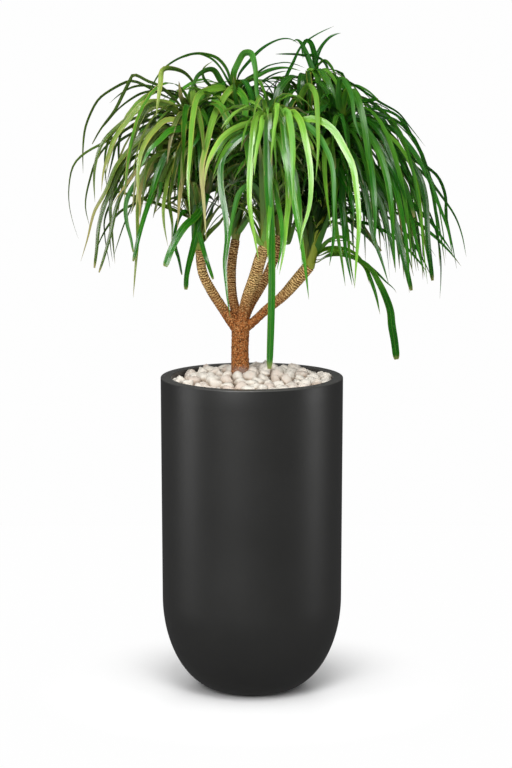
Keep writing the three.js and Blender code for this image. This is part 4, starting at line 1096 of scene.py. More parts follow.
def pebble_points(sizes):
    """One point per stone, with its size, its turn and a number of its own."""
    rng = np.random.default_rng(sizes.seed)
    reach = (BED_RADIUS - BED_WALL_GAP) * MM
    under_reach = UNDER_REACH * reach
    top, top_widths = spread_stones(rng, sizes.top_count, reach, sizes.stone, sizes.spread)
    under, under_widths = spread_stones(rng, sizes.under_count, under_reach, sizes.stone, sizes.spread)
    places = np.vstack([top, under])
    widths = np.concatenate([top_widths, under_widths])
    count = len(widths)
    drop = np.concatenate([np.full(len(top), TOP_DROP * MM), np.full(len(under), UNDER_DROP * MM)])
    height = bed_height(places) - drop + rng.uniform(-BED_JITTER * MM, BED_JITTER * MM, count)
    shapes = rng.uniform([0.92, 0.84, 0.84], [1.12, 1.0, 1.04], (count, 3))
    turns = rng.uniform([-0.8, -0.8, 0], [0.8, 0.8, 6.3], (count, 3))
    mesh = mesh_of("pebble_places", np.column_stack([places, height]))
    give_values(mesh, "size", shapes * widths[:, None])
    give_values(mesh, "turn", turns)
    give_values(mesh, "stone", rng.uniform(0, 1, count))
    return mesh


class PALM_OT_bed(bpy.types.Operator):
    """Fills the planter with soil and a heap of pale pebbles"""

    bl_idname = "palm.make_bed"
    bl_label = "Soil and pebbles"

    def execute(self, context):
        sizes = context.scene.palm_bed
        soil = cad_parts["soil"]
        soil.data.materials.clear()
        soil.data.materials.append(soil_finish(sizes))
        tree = pebble_tree(stone_finish(sizes))
        mesh = run_tree(pebble_points(sizes), tree, {"Unevenness": sizes.roughen})
        new_piece("pebble_bed", mesh, None, "pebbles", ["pebbles"])
        return {"FINISHED"}


# Trunk and branches


def limb_mesh(limbs, sides=LIMB_SIDES):
    """Round closed limbs in one mesh, still crossing at the fork."""
    points, faces = [], []
    for limb in limbs:
        along = unit(np.gradient(limb[:, :3], axis=0))
        side = np.array([1.0, 0.0, 0.0])
        first = len(points)
        for centre, way in zip(limb, along):
            side = unit(side - way * side.dot(way))
            across = np.cross(way, side)
            for k in range(sides):
                a = 2 * math.pi * k / sides
                points.append(centre[:3] + centre[3] * (side * math.cos(a) + across * math.sin(a)))
        for i in range(len(limb) - 1):
            a, b = first + i * sides, first + (i + 1) * sides
            faces += [(a + k, a + (k + 1) % sides, b + (k + 1) % sides, b + k) for k in range(sides)]
        faces.append(tuple(first + k for k in reversed(range(sides))))
        faces.append(tuple(len(points) - sides + k for k in range(sides)))
    return mesh_of("limbs", np.array(points) * MM, faces)


def joined_skin(mesh, voxel):
    """One skin over all the limbs."""

    def add_modifier(holder):
        modifier = holder.modifiers.new("Skin", "REMESH")
        modifier.mode = "VOXEL"
        modifier.voxel_size = voxel
        modifier.adaptivity = 0

    return settled(mesh, add_modifier)


def eased_fork(mesh, rounds):
    """Softens the creases where the limbs meet, and lightly the rest."""
    points = points_of(mesh)
    pairs = np.zeros(len(mesh.edges) * 2, np.int64)
    mesh.edges.foreach_get("vertices", pairs)
    pairs = pairs.reshape(-1, 2)
    count = np.bincount(pairs.ravel(), minlength=len(points))
    height = points[:, 2] / MM
    share = np.exp(-(((height - FORK_HEIGHT) / EASE_HEIGHT) ** 2))
    for step in range(rounds):
        total = np.zeros_like(points)
        for k in range(3):
            total[:, k] = np.bincount(pairs[:, 0], points[pairs[:, 1], k], len(points))
            total[:, k] += np.bincount(pairs[:, 1], points[pairs[:, 0], k], len(points))
        weight = 0.5 * (share if step >= 2 else np.maximum(share, 0.6))
        points = mix(points, total / count[:, None], weight[:, None])
    mesh.vertices.foreach_set("co", points.ravel())
    mesh.update()
    return points


def limb_distances(points, limb):
    """For each point: its distance from the limb's skin, and how far up the limb it lies."""
    along = lengths_along(limb)
    best = np.full(len(points), np.inf)
    place = np.zeros(len(points))
    for i in range(len(limb) - 1):
        span = limb[i + 1, :3] - limb[i, :3]
        share = np.clip((points - limb[i, :3]) @ span / span.dot(span), 0, 1)
        near = limb[i, :3] + share[:, None] * span
        gap = np.linalg.norm(points - near, axis=1) - mix(limb[i, 3], limb[i + 1, 3], share)
        closer = gap < best
        best = np.where(closer, gap, best)
        place = np.where(closer, mix(along[i], along[i + 1], share), place)
    return best, place


def noise_at(points, scale):
    """Smooth noise between about -1 and 1 at each point, with a bump size in millimetres."""
    return np.array([noise.noise(Vector(p) / scale) for p in points])


def bark_relief(mesh, limbs, sizes):
    """Raises cork on the trunk and rings on the branches, and keeps what the colours need."""
    points = eased_fork(mesh, EASE_ROUNDS) / MM
    found = [limb_distances(points, limb) for limb in limbs]
    gaps = np.array([f[0] for f in found])
    places = np.array([f[1] for f in found])
    which = gaps.argmin(axis=0)
    up = np.take_along_axis(places, which[None], 0)[0]
    branch = smooth_step((points[:, 2] - FORK_HEIGHT - 4) / CORK_RUN) * (which > 0)
    coarse = noise_at(points, COARSE_BUMP)
    fine = noise_at(points, FINE_BUMP)
    ring = up / (sizes.ring / MM) + 0.6 * coarse + 0.34 * fine + 0.37 * which
    lip = 1 - np.abs(2 * (ring % 1) - 1) ** 3
    cork = 0.55 * fine + 0.45 * noise_at(points, CORK_BUMP)
    depth = mix(0.85 * cork, 0.9 * (lip - 0.65) + 0.35 * cork, branch)
    above = points[:, 2] > SOIL_RISE
    normals = np.zeros(len(points) * 3)
    mesh.vertices.foreach_get("normal", normals)
    moved = points * MM + normals.reshape(-1, 3) * (depth * above * sizes.depth)[:, None]
    mesh.vertices.foreach_set("co", moved.ravel())
    give_values(mesh, "ring", ring)
    give_values(mesh, "branch", branch)
    # Marks the back branches, whose bark is painted darker, partly as shade.
    give_values(mesh, "behind", np.isin(which, BACK_LIMBS))
    give_values(mesh, "rise", np.clip((points[:, 2] - FORK_HEIGHT) / PALE_RUN, 0, 1))
    over_bed = points[:, 2] - BED_EDGE - BED_RISE - 2 + 0.5 * points[:, 0]
    give_values(mesh, "foot", np.clip(over_bed / DAMP_RUN, 0, 1))
    mesh.update()


def bark_finish(sizes):
    """Corky orange-brown trunk that turns to pale ringed branches with dark cracks."""
    material, nodes = new_finish("ringed_bark")
    place = nodes.place()
    ring = nodes.attribute("ring")
    branch = nodes.attribute("branch")
    rise = nodes.attribute("rise")
    mottle = nodes.noise(place, 240.0, 3.0, 0.68)
    flecks = nodes.noise(place, 330.0, 2.0, 0.7)
    patches = nodes.noise(place, 38.0, 2.0)
    wander = (nodes.noise(place, 210.0, 2.0) - 0.5) * 1.5
    edge = abs((ring + wander).fraction() * 2.0 - 1.0)
    pale = rise.rising(0.12, 0.6) * branch
    crack = edge.rising(0.35, 0.85) * (0.3 + mottle.rising(0.35, 0.6) * 0.7) * (0.35 + pale * 0.65) * branch
    ridge = (1.0 - edge).rising(0.3, 0.85) * flecks.rising(0.34, 0.56) * (0.25 + pale * 0.75) * branch
    cork = nodes.blend(mottle.rising(0.40, 0.58), opaque(sizes.cork, 0.27), opaque(sizes.cork, 1.1))
    cork = nodes.blend(flecks.rising(0.53, 0.62) * 0.9, cork, opaque(CORK_FLECK))
    tan = nodes.blend(patches.rising(0.35, 0.7) * 0.4, opaque(sizes.straw, 0.72), opaque(sizes.cork, 1.05))
    # The back branches take a darker, oranger bark: partly their own colour, partly painted shade.
    tan = nodes.blend(nodes.attribute("behind") * 0.6, tan, opaque(sizes.cork, 1.1))
    colour = nodes.blend(pale, cork, tan)
    colour = nodes.blend(ridge * 0.95, colour, opaque(BARK_RIDGE))
    colour = nodes.blend(crack * 0.95, colour, opaque(sizes.crack, 0.7))
    # Painted shade: the back branches are made a tenth darker still.
    colour = nodes.shaded(colour, 1.0 - nodes.attribute("behind") * branch * 0.1)
    damp = (1.0 - nodes.attribute("foot").rising(0.0, 1.0)) * patches.rising(0.35, 0.6)
    colour = nodes.blend(damp * 0.7, colour, opaque(DAMP_BARK))
    height = mottle * 0.5 + flecks * 0.3 - crack * branch * 0.8
    sockets = {
        "Base Color": colour,
        "Roughness": 0.72 + mottle * 0.2,
        "Specular IOR Level": 0.2,
        "Normal": nodes.bump(height, 0.8, 0.0018),
    }
    surface(nodes, sockets)
    return material


def all_limbs():
    return [curve_through(TRUNK, TRUNK_STEPS)] + [curve_through(b, BRANCH_STEPS) for b in BRANCHES.values()]


class PALM_OT_trunk(bpy.types.Operator):
    """Joins the trunk and its five branches under one ringed bark"""

    bl_idname = "palm.make_trunk"
    bl_label = "Trunk and branches"

    def execute(self, context):
        sizes = context.scene.palm_bark
        limbs = all_limbs()
        mesh = joined_skin(limb_mesh(limbs), sizes.voxel)
        mesh.shade_smooth()
        bark_relief(mesh, limbs, sizes)
        new_piece("trunk_bark", mesh, bark_finish(sizes), "bark", ["trunk"])
        return {"FINISHED"}


# Leaves


def crown_base(name):
    return np.array(BRANCHES[name][-1][:3], float)


def crown_tip(name):
    return np.array(CROWN_TIPS[name], float)


def stem_point(name, place):
    return mix(crown_base(name), crown_tip(name), place)


def eased(depth, margin, softness):
    """A distance that never falls under the margin and is left alone past margin + softness."""
    pressed = margin + softness * np.exp(np.minimum(0, (depth - margin - softness) / softness))
    return np.where(depth >= margin + softness, depth, pressed)


def keep_to_crown(line, name):
    """Eases a leaf back towards its own crown's side of the half-way planes."""
    line = line.copy()
    own = (crown_base(name) + crown_tip(name)) / 2
    own[2] = 0
    for other in CROWN_TIPS:
        if other == name:
            continue
        far = (crown_base(other) + crown_tip(other)) / 2
        far[2] = 0
        away = unit(own - far)
        level = line * [1, 1, 0]
        depth = (level - (own + far) / 2) @ away
        shift = eased(depth, CELL_MARGIN, CELL_SOFTNESS) - depth
        line += away * (CELL_SHARE * shift)[:, None]
    return line


def keep_off_bark(line, limbs, weight):
    """Eases the hanging part of a leaf out from the bare limbs."""
    for limb in limbs:
        best = np.full(len(line), np.inf)
        spot = np.zeros_like(line)
        for i in range(0, len(limb) - 4, 4):
            span = limb[i + 4, :3] - limb[i, :3]
            share = np.clip((line - limb[i, :3]) @ span / span.dot(span), 0, 1)
            near = limb[i, :3] + share[:, None] * span
            far = np.linalg.norm(line - near, axis=1)
            spot = np.where((far < best)[:, None], near, spot)
            best = np.minimum(far, best)
        wanted = eased(best, limb[len(limb) // 2, 3] + BARK_CLEARANCE, CELL_SOFTNESS)
        line = line + unit(line - spot) * ((wanted - best) * weight)[:, None]
    return line


def canopy_room(root, heading):
    """How far a root is from the canopy's edge along a level heading."""
    deep = CANOPY_DEEP if heading[1] > 0 else mix(CANOPY_DEEP, CANOPY_FRONT, min(1, -heading[1] * FRONT_TURN))
    scale = np.array([CANOPY_WIDE, deep])
    p = (root[:2] - CANOPY_MIDDLE) / scale
    h = heading[:2] / scale
    a, b, c = h.dot(h), p.dot(h), p.dot(p) - 1
    return (-b + math.sqrt(max(0, b * b - a * c))) / a


def along_outline(outline, x):
    """A height from a list of (across, height)."""
    return np.interp(x, [p[0] for p in outline], [p[1] for p in outline])


def under_roof(line, root):
    """Presses a leaf's arch down until it stays under the canopy's top."""
    roof = along_outline(ROOF, line[:, 0]) - ROOF_BACK_DROP * (line[:, 1] / ROOF_BACK) ** 2
    rise = line[:, 2] - root[2]
    room = np.maximum(roof - root[2], LEAST_ROOM)
    share = np.min(np.where(rise > 1, room / np.maximum(rise, 1), 1))
    share = min(1, share)
    line = root + (line - root) * [math.sqrt(share), math.sqrt(share), 1]
    line[:, 2] = root[2] + np.where(rise > 0, rise * share, rise)
    return line


def rule_leaf(index, draw):
    """The leaf with this number: where it roots, how it heads, climbs and hangs, and how wide it is."""
    place = mix(FIRST_LEAF, 0.98, (0.5 + index * PLACE_STEP) % 1)
    upright = 1 - smooth_step(place / LOWEST_LEAVES)
    turn = 2 * math.pi * ((index * TURN_STEP) % 1) + (draw() - 0.5) * 0.3
    leaf = {"place": place, "turn": turn, "heading": np.array([math.cos(turn), math.sin(turn), 0])}
    leaf["drift"] = (draw() - 0.5) * 0.7
    leaf["start"] = math.radians(mix(42, 72, place) + (draw() - 0.5) * 16 + 26 * upright)
    leaf["hang"] = math.radians(mix(76, 89, draw()) * mix(1, 0.5, upright))
    leaf["bend"] = mix(1.6, 4.6, draw())
    leaf["straight"] = mix(0, 0.08, draw()) * place
    leaf["spare"] = draw()
    leaf["shortest"] = mix(*SHORTEST_LEAVES, draw())
    leaf["longest"] = LONGEST_LEAF
    leaf["half"] = mix(*HALF_WIDTHS, draw())
    leaf["share"] = mix(0.7, 0.88, draw()) if draw() < CUT_CHANCE else 1
    leaf["twist"] = (draw() - 0.5) * 3.0
    return leaf


def rule_line(name, leaf):
    """A leaf's middle line: it bends fastest early on and is as long as it takes to hang to its height."""
    root = stem_point(name, leaf["place"]) + leaf.get("aside", 0)
    for lift in np.linspace(0, 1, 7):
        path = leaf_path(leaf, lift)
        last = path[-1]
        end = root + last * leaf["shortest"]
        if end[2] >= lowest_end(leaf, end):
            break
    size, squeeze = leaf["shortest"], 1
    for _ in range(3):
        end = root + last * size * [squeeze, squeeze, 1]
        wanted = (root[2] - lowest_end(leaf, end)) / max(0.1, -last[2])
        size = min(leaf["longest"], max(leaf["shortest"], wanted)) if lift == 0 else size
        squeeze = min(1, canopy_room(root, leaf["heading"]) / (size * math.hypot(last[0], last[1])))
    return root + path * size * [squeeze, squeeze, 1]


def lowest_end(leaf, end):
    """How low a leaf may end, so that the canopy's fringe shows where it should."""
    return along_outline(FRINGE, end[0]) - FRINGE_LEAN * end[1] + SPARE_RISE * leaf["spare"] ** 1.3


def leaf_path(leaf, lift):
    """A leaf's middle line at a length of 1. With lift it rises steeply first and only its end droops."""
    share = (np.arange(LEAF_STEPS) + 0.5) / LEAF_STEPS
    straight = leaf["straight"] + 0.5 * lift
    past = np.maximum(0, share - straight)
    bent = (1 - np.exp(-leaf["bend"] * past)) / (1 - math.exp(-leaf["bend"] * (1 - straight)))
    start = mix(leaf["start"], math.radians(80), lift)
    climb = start - (start + mix(leaf["hang"], math.radians(50), lift)) * bent
    turn = leaf["turn"] + leaf["drift"] * share
    ways = np.stack([np.cos(turn) * np.cos(climb), np.sin(turn) * np.cos(climb), np.sin(climb)], axis=1)
    return np.vstack([[0, 0, 0], np.cumsum(ways / LEAF_STEPS, axis=0)])


def seen_point(across, height, depth):
    """The place at a depth that shows at (across, height) on the plane through the rim's middle."""
    eye = np.array(CAMERA_PLACE) / MM
    forward = unit(np.array(CAMERA_AIM) / MM - eye)
    right = unit(np.cross(forward, [0.0, 0.0, 1.0]))
    up = np.cross(right, forward)
    rim = np.array([0.0, 0.0, POT_HIGH.z / MM])
    way = rim + across * right + (height - rim[2]) * up[2] * up - eye
    return eye + way * (depth - eye[1]) / way[1]


def standout_line(name, place, near, far, route):
    """A leaf that follows a route seen from the front, from its root out to its end depth."""
    root = stem_point(name, place)
    count = len(route)
    points = [root]
    for k, (across, height) in enumerate(route):
        share = k / max(1, count - 1)
        points.append(seen_point(across, height, mix(near, far, smooth_step(share) ** 0.8)))
    return curve_through(points, LEAF_STEPS + 1)


def half_width(half, t):
    """A clasping base, an even blade and a fine tip."""
    clasp = 0.36 * np.exp(-t * 24)
    return half * (0.78 + clasp + 0.22 * smooth_step(t / 0.2)) * np.maximum(0, 1 - t**3.2) ** 0.85


def facing_front(line, flat, half, shown):
    """Turns a leaf until its wanted width shows from the front. It leans one way along its whole length."""
    lengths = lengths_along(line)
    along = unit(np.gradient(at_stops(line, FINE_STOPS * lengths[-1], lengths), axis=0))
    across = unit(np.cross(along, [0.0, 1.0, 0.0]))
    across *= np.sign((across * flat).sum(axis=1, keepdims=True)[len(across) // 3])
    wanted = np.minimum(0.97, np.broadcast_to(shown, 2) / (2 * half))
    sine = np.interp(FINE_STOPS, [0.3, 0.8], wanted)[:, None]
    lean = np.sign(flat[1] + 0.35 * np.sign(across[2 * len(across) // 3, 0] + 0.01))
    deep = np.sqrt(1 - sine * sine) * lean
    turned_face = across * sine + np.array([0.0, 1.0, 0.0]) * deep
    return unit(mix(np.broadcast_to(flat, across.shape), turned_face, smooth_step(FINE_STOPS / 0.3)[:, None]))


def side_vectors(line, flat, twist):
    """Which way the blade's width lies at each point: level and across the leaf, then twisted."""
    along = unit(np.gradient(line, axis=0))
    level = unit(flat - along * (along * flat).sum(axis=1, keepdims=True))
    face = np.cross(along, level)
    return level * np.cos(twist)[:, None] + face * np.sin(twist)[:, None]


def cut_off(line, share):
    """The first part of a leaf, as the outline of a cut one is that of a whole one to the cut."""
    along = lengths_along(line)
    return at_stops(line, np.linspace(0, share, len(line)) * along[-1], along)


def blade(line, t, half, share, flat, twist, look, calm=1):
    """One leaf as rows of values at stops t of its middle line. Under a share of 1 it ends blunt, and a
    calm under 1 holds back its twist."""
    along = lengths_along(line)
    spots = at_stops(line, t * along[-1], along)
    widths = half_width(half, t * share)
    if share < 1:
        widths[-2] *= 0.93
        widths[-1] *= 0.62
    widths = np.maximum(widths, 0.25)
    rows = {"spot": spots, "half": widths * MM, "along": t * share * look.pop("stretch", 1)}
    waves = 0.14 * np.sin(11 * t + 40 * look["mark"]) * smooth_step(t * 3)
    rows["side"] = side_vectors(spots, flat, calm * (twist * smooth_step(t * 1.15) + waves))
    rows["fine"] = np.full(len(t), float(len(t) == len(FINE_STOPS)))
    for name, value in look.items():
        rows[name] = np.broadcast_to(value, t.shape)
    # Painted shade: leaves inside the canopy are made darker.
    rows["shade"] = rows["shade"] * painted_canopy_shade(spots)
    return rows


def painted_canopy_shade(spots):
    """Painted shade by how open a place is: inner leaves are dimmer than those at the canopy's skin."""
    far = np.hypot((spots[:, 0] - CANOPY_MIDDLE[0]) / CANOPY_WIDE, spots[:, 1] / CANOPY_DEEP)
    inner = 1 - smooth_step((far - 0.22) / 0.5)
    top = smooth_step((spots[:, 2] - OPEN_TOP[0]) / OPEN_TOP[1])
    foot = 1 - smooth_step((spots[:, 2] - OPEN_FOOT[0]) / OPEN_FOOT[1])
    return 1 - 0.5 * inner * (1 - 0.85 * top) * (1 - 0.8 * foot)


def rule_look(name, leaf, draw):
    """Colours of a rule leaf: low and inner ones are darker, partly as older leaves and partly as painted
    shade, and dryness creeps up from the tip.
    """
    middle, spread, dry_share, margin, olive, light = CROWN_LOOKS[name][:6]
    t = LEAF_STOPS
    fresh = leaf.get("fresh", 0)
    tone = middle + spread * (2 * draw() - 1) + 0.25 * (leaf["place"] - 0.5 + fresh) + 0.10 * (0.5 - t)
    dry = 0.8 * smooth_step((t - 0.92) / 0.08)
    outer = smooth_step(0.55 - 0.9 * leaf["heading"][0]) if olive > 0.5 else 1
    dry_share = dry_share * mix(0.35, 1, outer)
    dry = np.maximum(dry, mix(0.5, 1.2, fresh) * dry_share * draw())
    if draw() < dry_share:
        dry = np.maximum(dry, mix(0.1, 0.42, draw()) + 0.4 * smooth_step((t - mix(0.8, 0.3, draw())) / 0.4))
    return {
        "tone": np.clip(tone, 0.02, 1),
        "dry": dry,
        "margin": 0.8 if draw() < margin else 0.1 * draw(),
        "olive": max(0.45 * fresh, olive * outer * smooth_step(2 * draw() - 0.3)),
        # Low leaves are darker: partly older leaves, partly painted shade.
        "shade": light * mix(0.55, 1.05, max(fresh, leaf["place"])) * mix(0.8, 1.15, draw()),
        "mark": draw(),
        "stretch": mix(1, 0.5, fresh),
    }


def standout_look(tone, dry, margin, crown, mark):
    """Colours of a leaf that stands out: its tone along the blade, its dry end and its margins."""
    t = FINE_STOPS
    olive, light = crown
    tone = np.interp(t, [0.52, 0.62], np.broadcast_to(tone, 2))
    return {
        "tone": np.clip(tone + 0.12 * (0.4 - t), 0, 1),
        "olive": olive * min(1, 10 * dry),
        "dry": dry * smooth_step((t - mix(0.85, 0.25, dry)) / 0.45) + 0.5 * smooth_step((t - 0.95) / 0.05),
        "margin": margin,
        "shade": 1.05 * light,
        "mark": mark,
    }


def standout_blades(name, number):
    """The leaves of a crown that stand out, each along a route of its own."""
    middle = np.array([*CANOPY_MIDDLE, 0.0])
    blades = []
    for k, (place, shown, tone, dry, margin, share, near, far, route) in enumerate(STANDOUT_LEAVES[name]):
        line = standout_line(name, place, near, far, route)
        aside = (line[len(line) // 2] - middle) * [0.3, 0.3, 0]
        outward = unit((line[-1] - crown_tip(name)) * [1, 1, 0] + aside)
        shown = np.maximum(shown, LEAST_SHOWN)
        half = max(LEAST_HALF, np.max(shown) / 2)
        flat = facing_front(line, np.array([-outward[1], outward[0], 0.0]), half, shown)
        twist = 0.3 * math.sin(7.1 * k + number)
        look = standout_look(tone, dry, margin, CROWN_LOOKS[name][4:6], (0.37 * k) % 1)
        calm = np.min(shown) / (2 * half)
        blades.append(blade(line, FINE_STOPS, half, share, flat, twist, look, calm))
    return blades


def rule_blades(name, number, sizes):
    """The many leaves of a crown and the clasping ones at its foot."""
    limbs = all_limbs()
    weight = smooth_step((np.linspace(0, 1, LEAF_STEPS + 1) - 0.3) / 0.15)
    draw = make_draw(SEED + 101 * (number + 1))
    tint = make_draw(SEED + 977 * (number + 3))
    grown = [rule_leaf(index, draw) for index in range(sizes.count)]
    clasping = [sheath_leaf(index, draw) for index in range(sizes.sheaths)]
    blades = []
    for leaf in grown + clasping:
        line = keep_to_crown(rule_line(name, leaf), name)
        line = keep_off_bark(under_roof(line, line[0]), limbs, weight)
        line = cut_off(line, leaf["share"])
        flat = np.array([-leaf["heading"][1], leaf["heading"][0], 0.0])
        look = rule_look(name, leaf, tint)
        if line[:, 2].min() > LEAF_LOWEST:
            blades.append(blade(line, LEAF_STOPS, leaf["half"], leaf["share"], flat, leaf["twist"], look))
    return blades


def sheath_leaf(number, draw):
    """A short broad leaf that clasps the foot of a crown."""
    turn = 2.4 * number + draw()
    heading = np.array([math.cos(turn), math.sin(turn), 0])
    long = mix(*SHEATH_LENGTHS, draw())
    leaf = {"place": 0.008 * number - 0.02, "turn": turn, "heading": heading, "drift": 0.4 * (draw() - 0.5)}
    leaf.update({"start": math.radians(mix(70, 90, draw())), "hang": math.radians(mix(-60, 15, draw()))})
    leaf.update({"bend": 1.8, "straight": 0.12, "spare": 0, "shortest": long, "longest": long})
    leaf.update({"half": mix(*SHEATH_HALVES, draw()), "twist": 0.6 * (draw() - 0.5)})
    leaf.update({"share": 1, "fresh": 1, "aside": SHEATH_ROOT * heading})
    return leaf


def stem_rows(name):
    """The leafy stem as a blade-like row of values, swept round instead of flat."""
    thick = 0.86 * BRANCHES[name][-1][3]
    t = np.linspace(0, 1, 9)
    spots = mix(crown_base(name) - [0, 0, 6], crown_tip(name), t[:, None])
    rows = {"spot": spots, "half": mix(thick, 5.0, t**1.5) * MM, "along": np.zeros(9)}
    rows["side"] = np.tile([1.0, 0.0, 0.0], (9, 1))
    look = {"tone": 0.8, "dry": 0.6 - 0.5 * smooth_step(t / 0.3), "margin": 0}
    look.update({"shade": 0.9, "mark": 0.5, "woody": 1.0})
    rows.update({key: np.broadcast_to(value, t.shape) for key, value in look.items()})
    return rows


def line_mesh(name, rows_list):
    """All middle lines as edges, with the rows' values on their points."""
    spots = np.vstack([rows["spot"] for rows in rows_list]) * MM
    edges, first = [], 0
    for rows in rows_list:
        count = len(rows["spot"])
        edges += [(first + i, first + i + 1) for i in range(count - 1)]
        first += count
    mesh = mesh_of(name, spots, edges=edges)
    for key in ("side", "half", "along", "tone", "dry", "margin", "olive", "shade", "mark", "woody", "fine"):
        values = [rows.get(key, np.zeros(len(rows["spot"]))) for rows in rows_list]
        give_values(mesh, key, np.concatenate(values))
    return mesh


def round_profile(nodes, corners):
    sockets = {"Resolution": corners, "Radius": 1.0}
    return nodes.node("GeometryNodeCurvePrimitiveCircle", {}, sockets, "Curve")


def blade_profile(nodes, fold, thickness, corners):
    """A circle pressed to a thin blade and folded up along its midrib. Its places are kept as values."""
    place = nodes.node("GeometryNodeInputPosition", {}, {})
    x = nodes.node("ShaderNodeSeparateXYZ", {}, {0: place}, "X")
    y = nodes.node("ShaderNodeSeparateXYZ", {}, {0: place}, "Y")
    circle = kept_value(nodes, round_profile(nodes, corners), "across", x)
    circle = kept_value(nodes, circle, "under", 0.0 - y)
    flat = nodes.node("ShaderNodeCombineXYZ", {}, {0: x, 1: abs(x) * fold + y * thickness})
    return nodes.node("GeometryNodeSetPosition", {}, {"Geometry": circle, "Position": flat})


def swept(nodes, lines, profile):
    """Middle lines with a profile carried along them, as wide as each point says."""
    curves = nodes.node("GeometryNodeMeshToCurve", {}, {"Mesh": lines})
    sockets = {"Curve": curves, "Normal": named_value(nodes, "side", "FLOAT_VECTOR")}
    curves = nodes.node("GeometryNodeSetCurveNormal", {"mode": "FREE"}, sockets)
    half = named_value(nodes, "half")
    sockets = {"Curve": curves, "Profile Curve": profile, "Scale": half, "Fill Caps": True}
    return nodes.node("GeometryNodeCurveToMesh", {}, sockets)


def parted(nodes, lines, mask):
    """The lines whose mask is 1, and the others."""
    chosen = compared(nodes, "GREATER_THAN", mask, 0.5)
    kind, settings = "GeometryNodeSeparateGeometry", {"domain": "POINT"}
    sockets = {"Geometry": lines, "Selection": chosen}
    return nodes.node(kind, settings, sockets, "Selection"), nodes.node(kind, settings, sockets, "Inverted")


def crown_tree(material):
    """Sweeps every leaf blade and the round leafy stem of a crown."""
    inputs = {
        "Fold": ("NodeSocketFloat", 0.2),
        "Thickness": ("NodeSocketFloat", 0.065),
        "Fine corners": ("NodeSocketInt", 8),
        "Plain corners": ("NodeSocketInt", 4),
    }
    tree, nodes, wires = geometry_tree("Strap leaves", inputs)
    woody = named_value(nodes, "woody")
    stems, leaves = parted(nodes, wires["Geometry"], woody)
    fine, plain = parted(nodes, leaves, named_value(nodes, "fine"))
    fine_profile = blade_profile(nodes, wires["Fold"], wires["Thickness"], wires["Fine corners"])
    plain_profile = blade_profile(nodes, wires["Fold"], wires["Thickness"], wires["Plain corners"])
    stem_profile = round_profile(nodes, 12)
    together = nodes.tree.nodes.new("GeometryNodeJoinGeometry")
    for lines, profile in ((fine, fine_profile), (plain, plain_profile), (stems, stem_profile)):
        nodes.tree.links.new(swept(nodes, lines, profile).socket, together.inputs[0])
    smooth = smoothed(nodes, Wire(nodes, together.outputs[0]))
    angle = nodes.node("GeometryNodeInputMeshEdgeAngle", {}, {}, "Unsigned Angle")
    margin = compared(nodes, "GREATER_THAN", angle, math.radians(80))
    off_rib = abs(named_value(nodes, "across")) + woody * 2.0
    rib = compared(nodes, "LESS_THAN", off_rib, 0.05)
    creased = nodes.node("FunctionNodeBooleanMath", {"operation": "OR"}, {0: margin, 1: rib})
    sockets = {"Geometry": smooth, "Selection": creased, "Shade Smooth": False}
    crisp = nodes.node("GeometryNodeSetShadeSmooth", {"domain": "EDGE"}, sockets)
    finish_tree(nodes, crisp, material)
    return tree


def tone_ramp(nodes, tone, greens):
    """A tone from 0 to 1 as a colour on a row of four greens."""
    stops = [(place, opaque(green)) for place, green in zip(TONE_PLACES, greens)]
    return nodes.node("ShaderNodeValToRGB", {"stops": stops}, {"Fac": tone}, "Color")


def leaf_finish(name, sizes, gloss):
    """Glossy strap leaf: lengthwise fibres, yellowed margins, dry tips and a duller underside."""
    material, nodes = new_finish(name)
    along = nodes.attribute("along")
    across = nodes.attribute("across")
    mark = nodes.attribute("mark")
    under = nodes.attribute("under")
    sockets = {0: across * 7.0 + mark * 40.0, 1: along * 5.0, 2: mark * 60.0}
    fibre = nodes.noise(nodes.node("ShaderNodeCombineXYZ", {}, sockets), 1.0, 3.0, 0.6)
    sockets = {0: across * 0.7 + mark * 30.0, 1: along * 9.0, 2: mark * 50.0}
    patch = nodes.noise(nodes.node("ShaderNodeCombineXYZ", {}, sockets), 1.0, 2.0, 0.5)
    tone = nodes.attribute("tone") + (patch - 0.5) * 0.34 + (fibre - 0.5) * 0.26
    greens = tone_ramp(nodes, tone, [sizes.deep, sizes.middle, sizes.bright, sizes.lime])
    colour = nodes.blend(nodes.attribute("olive"), greens, tone_ramp(nodes, tone, OLIVE_GREENS))
    rib = (1.0 - abs(across)).rising(0.86, 0.98) * 0.22
    colour = nodes.blend(rib, colour, opaque(sizes.lime))
    edge = abs(across) + (patch - 0.5) * 0.8
    yellow = edge.rising(0.45, 1.15) * nodes.attribute("margin") * patch.rising(0.3, 0.6)
    colour = nodes.blend(yellow, colour, opaque(sizes.margin))
    dry = nodes.attribute("dry")
    dryness = (dry * 1.3 - 0.3 + (fibre - 0.5) * 0.9 + abs(across) * 0.15).rising(0.0, 0.7)
    dryness = dryness * dry.rising(0.0, 0.12) * 0.85
    dead = nodes.blend(fibre.rising(0.35, 0.7), opaque(sizes.straw, 0.7), opaque(sizes.straw, 1.25))
    colour = nodes.blend(dryness, colour, dead)
    base = 1.0 - along.rising(0.02, 0.16)
    colour = nodes.blend(base * 0.75, colour, opaque(LEAF_FOOT))
    pale = nodes.blend(0.04, colour, opaque(LEAF_UNDER))
    colour = nodes.blend(under.rising(0.1, 0.6) * 0.7, colour, pale)
    colour = nodes.blend(nodes.attribute("woody") * 0.75, colour, opaque(STEM_GREEN))
    # The shade value darkens a leaf: painted shade inside the canopy and on low leaves, and each crown's
    # lightness.
    colour = nodes.shaded(colour, nodes.attribute("shade") * (0.72 + fibre * 0.56))
    sockets = {
        "Base Color": colour,
        "Roughness": 0.17 + fibre * 0.17 + dryness * 0.35 + under.rising(0.1, 0.6) * 0.25,
        "Specular IOR Level": gloss,
        "Subsurface Weight": 0.18,
        "Subsurface Radius": (0.6, 1.0, 0.2),
        "Subsurface Scale": 0.004,
        "Normal": nodes.bump(fibre, 0.3, 0.0008),
    }
    surface(nodes, sockets)
    return material


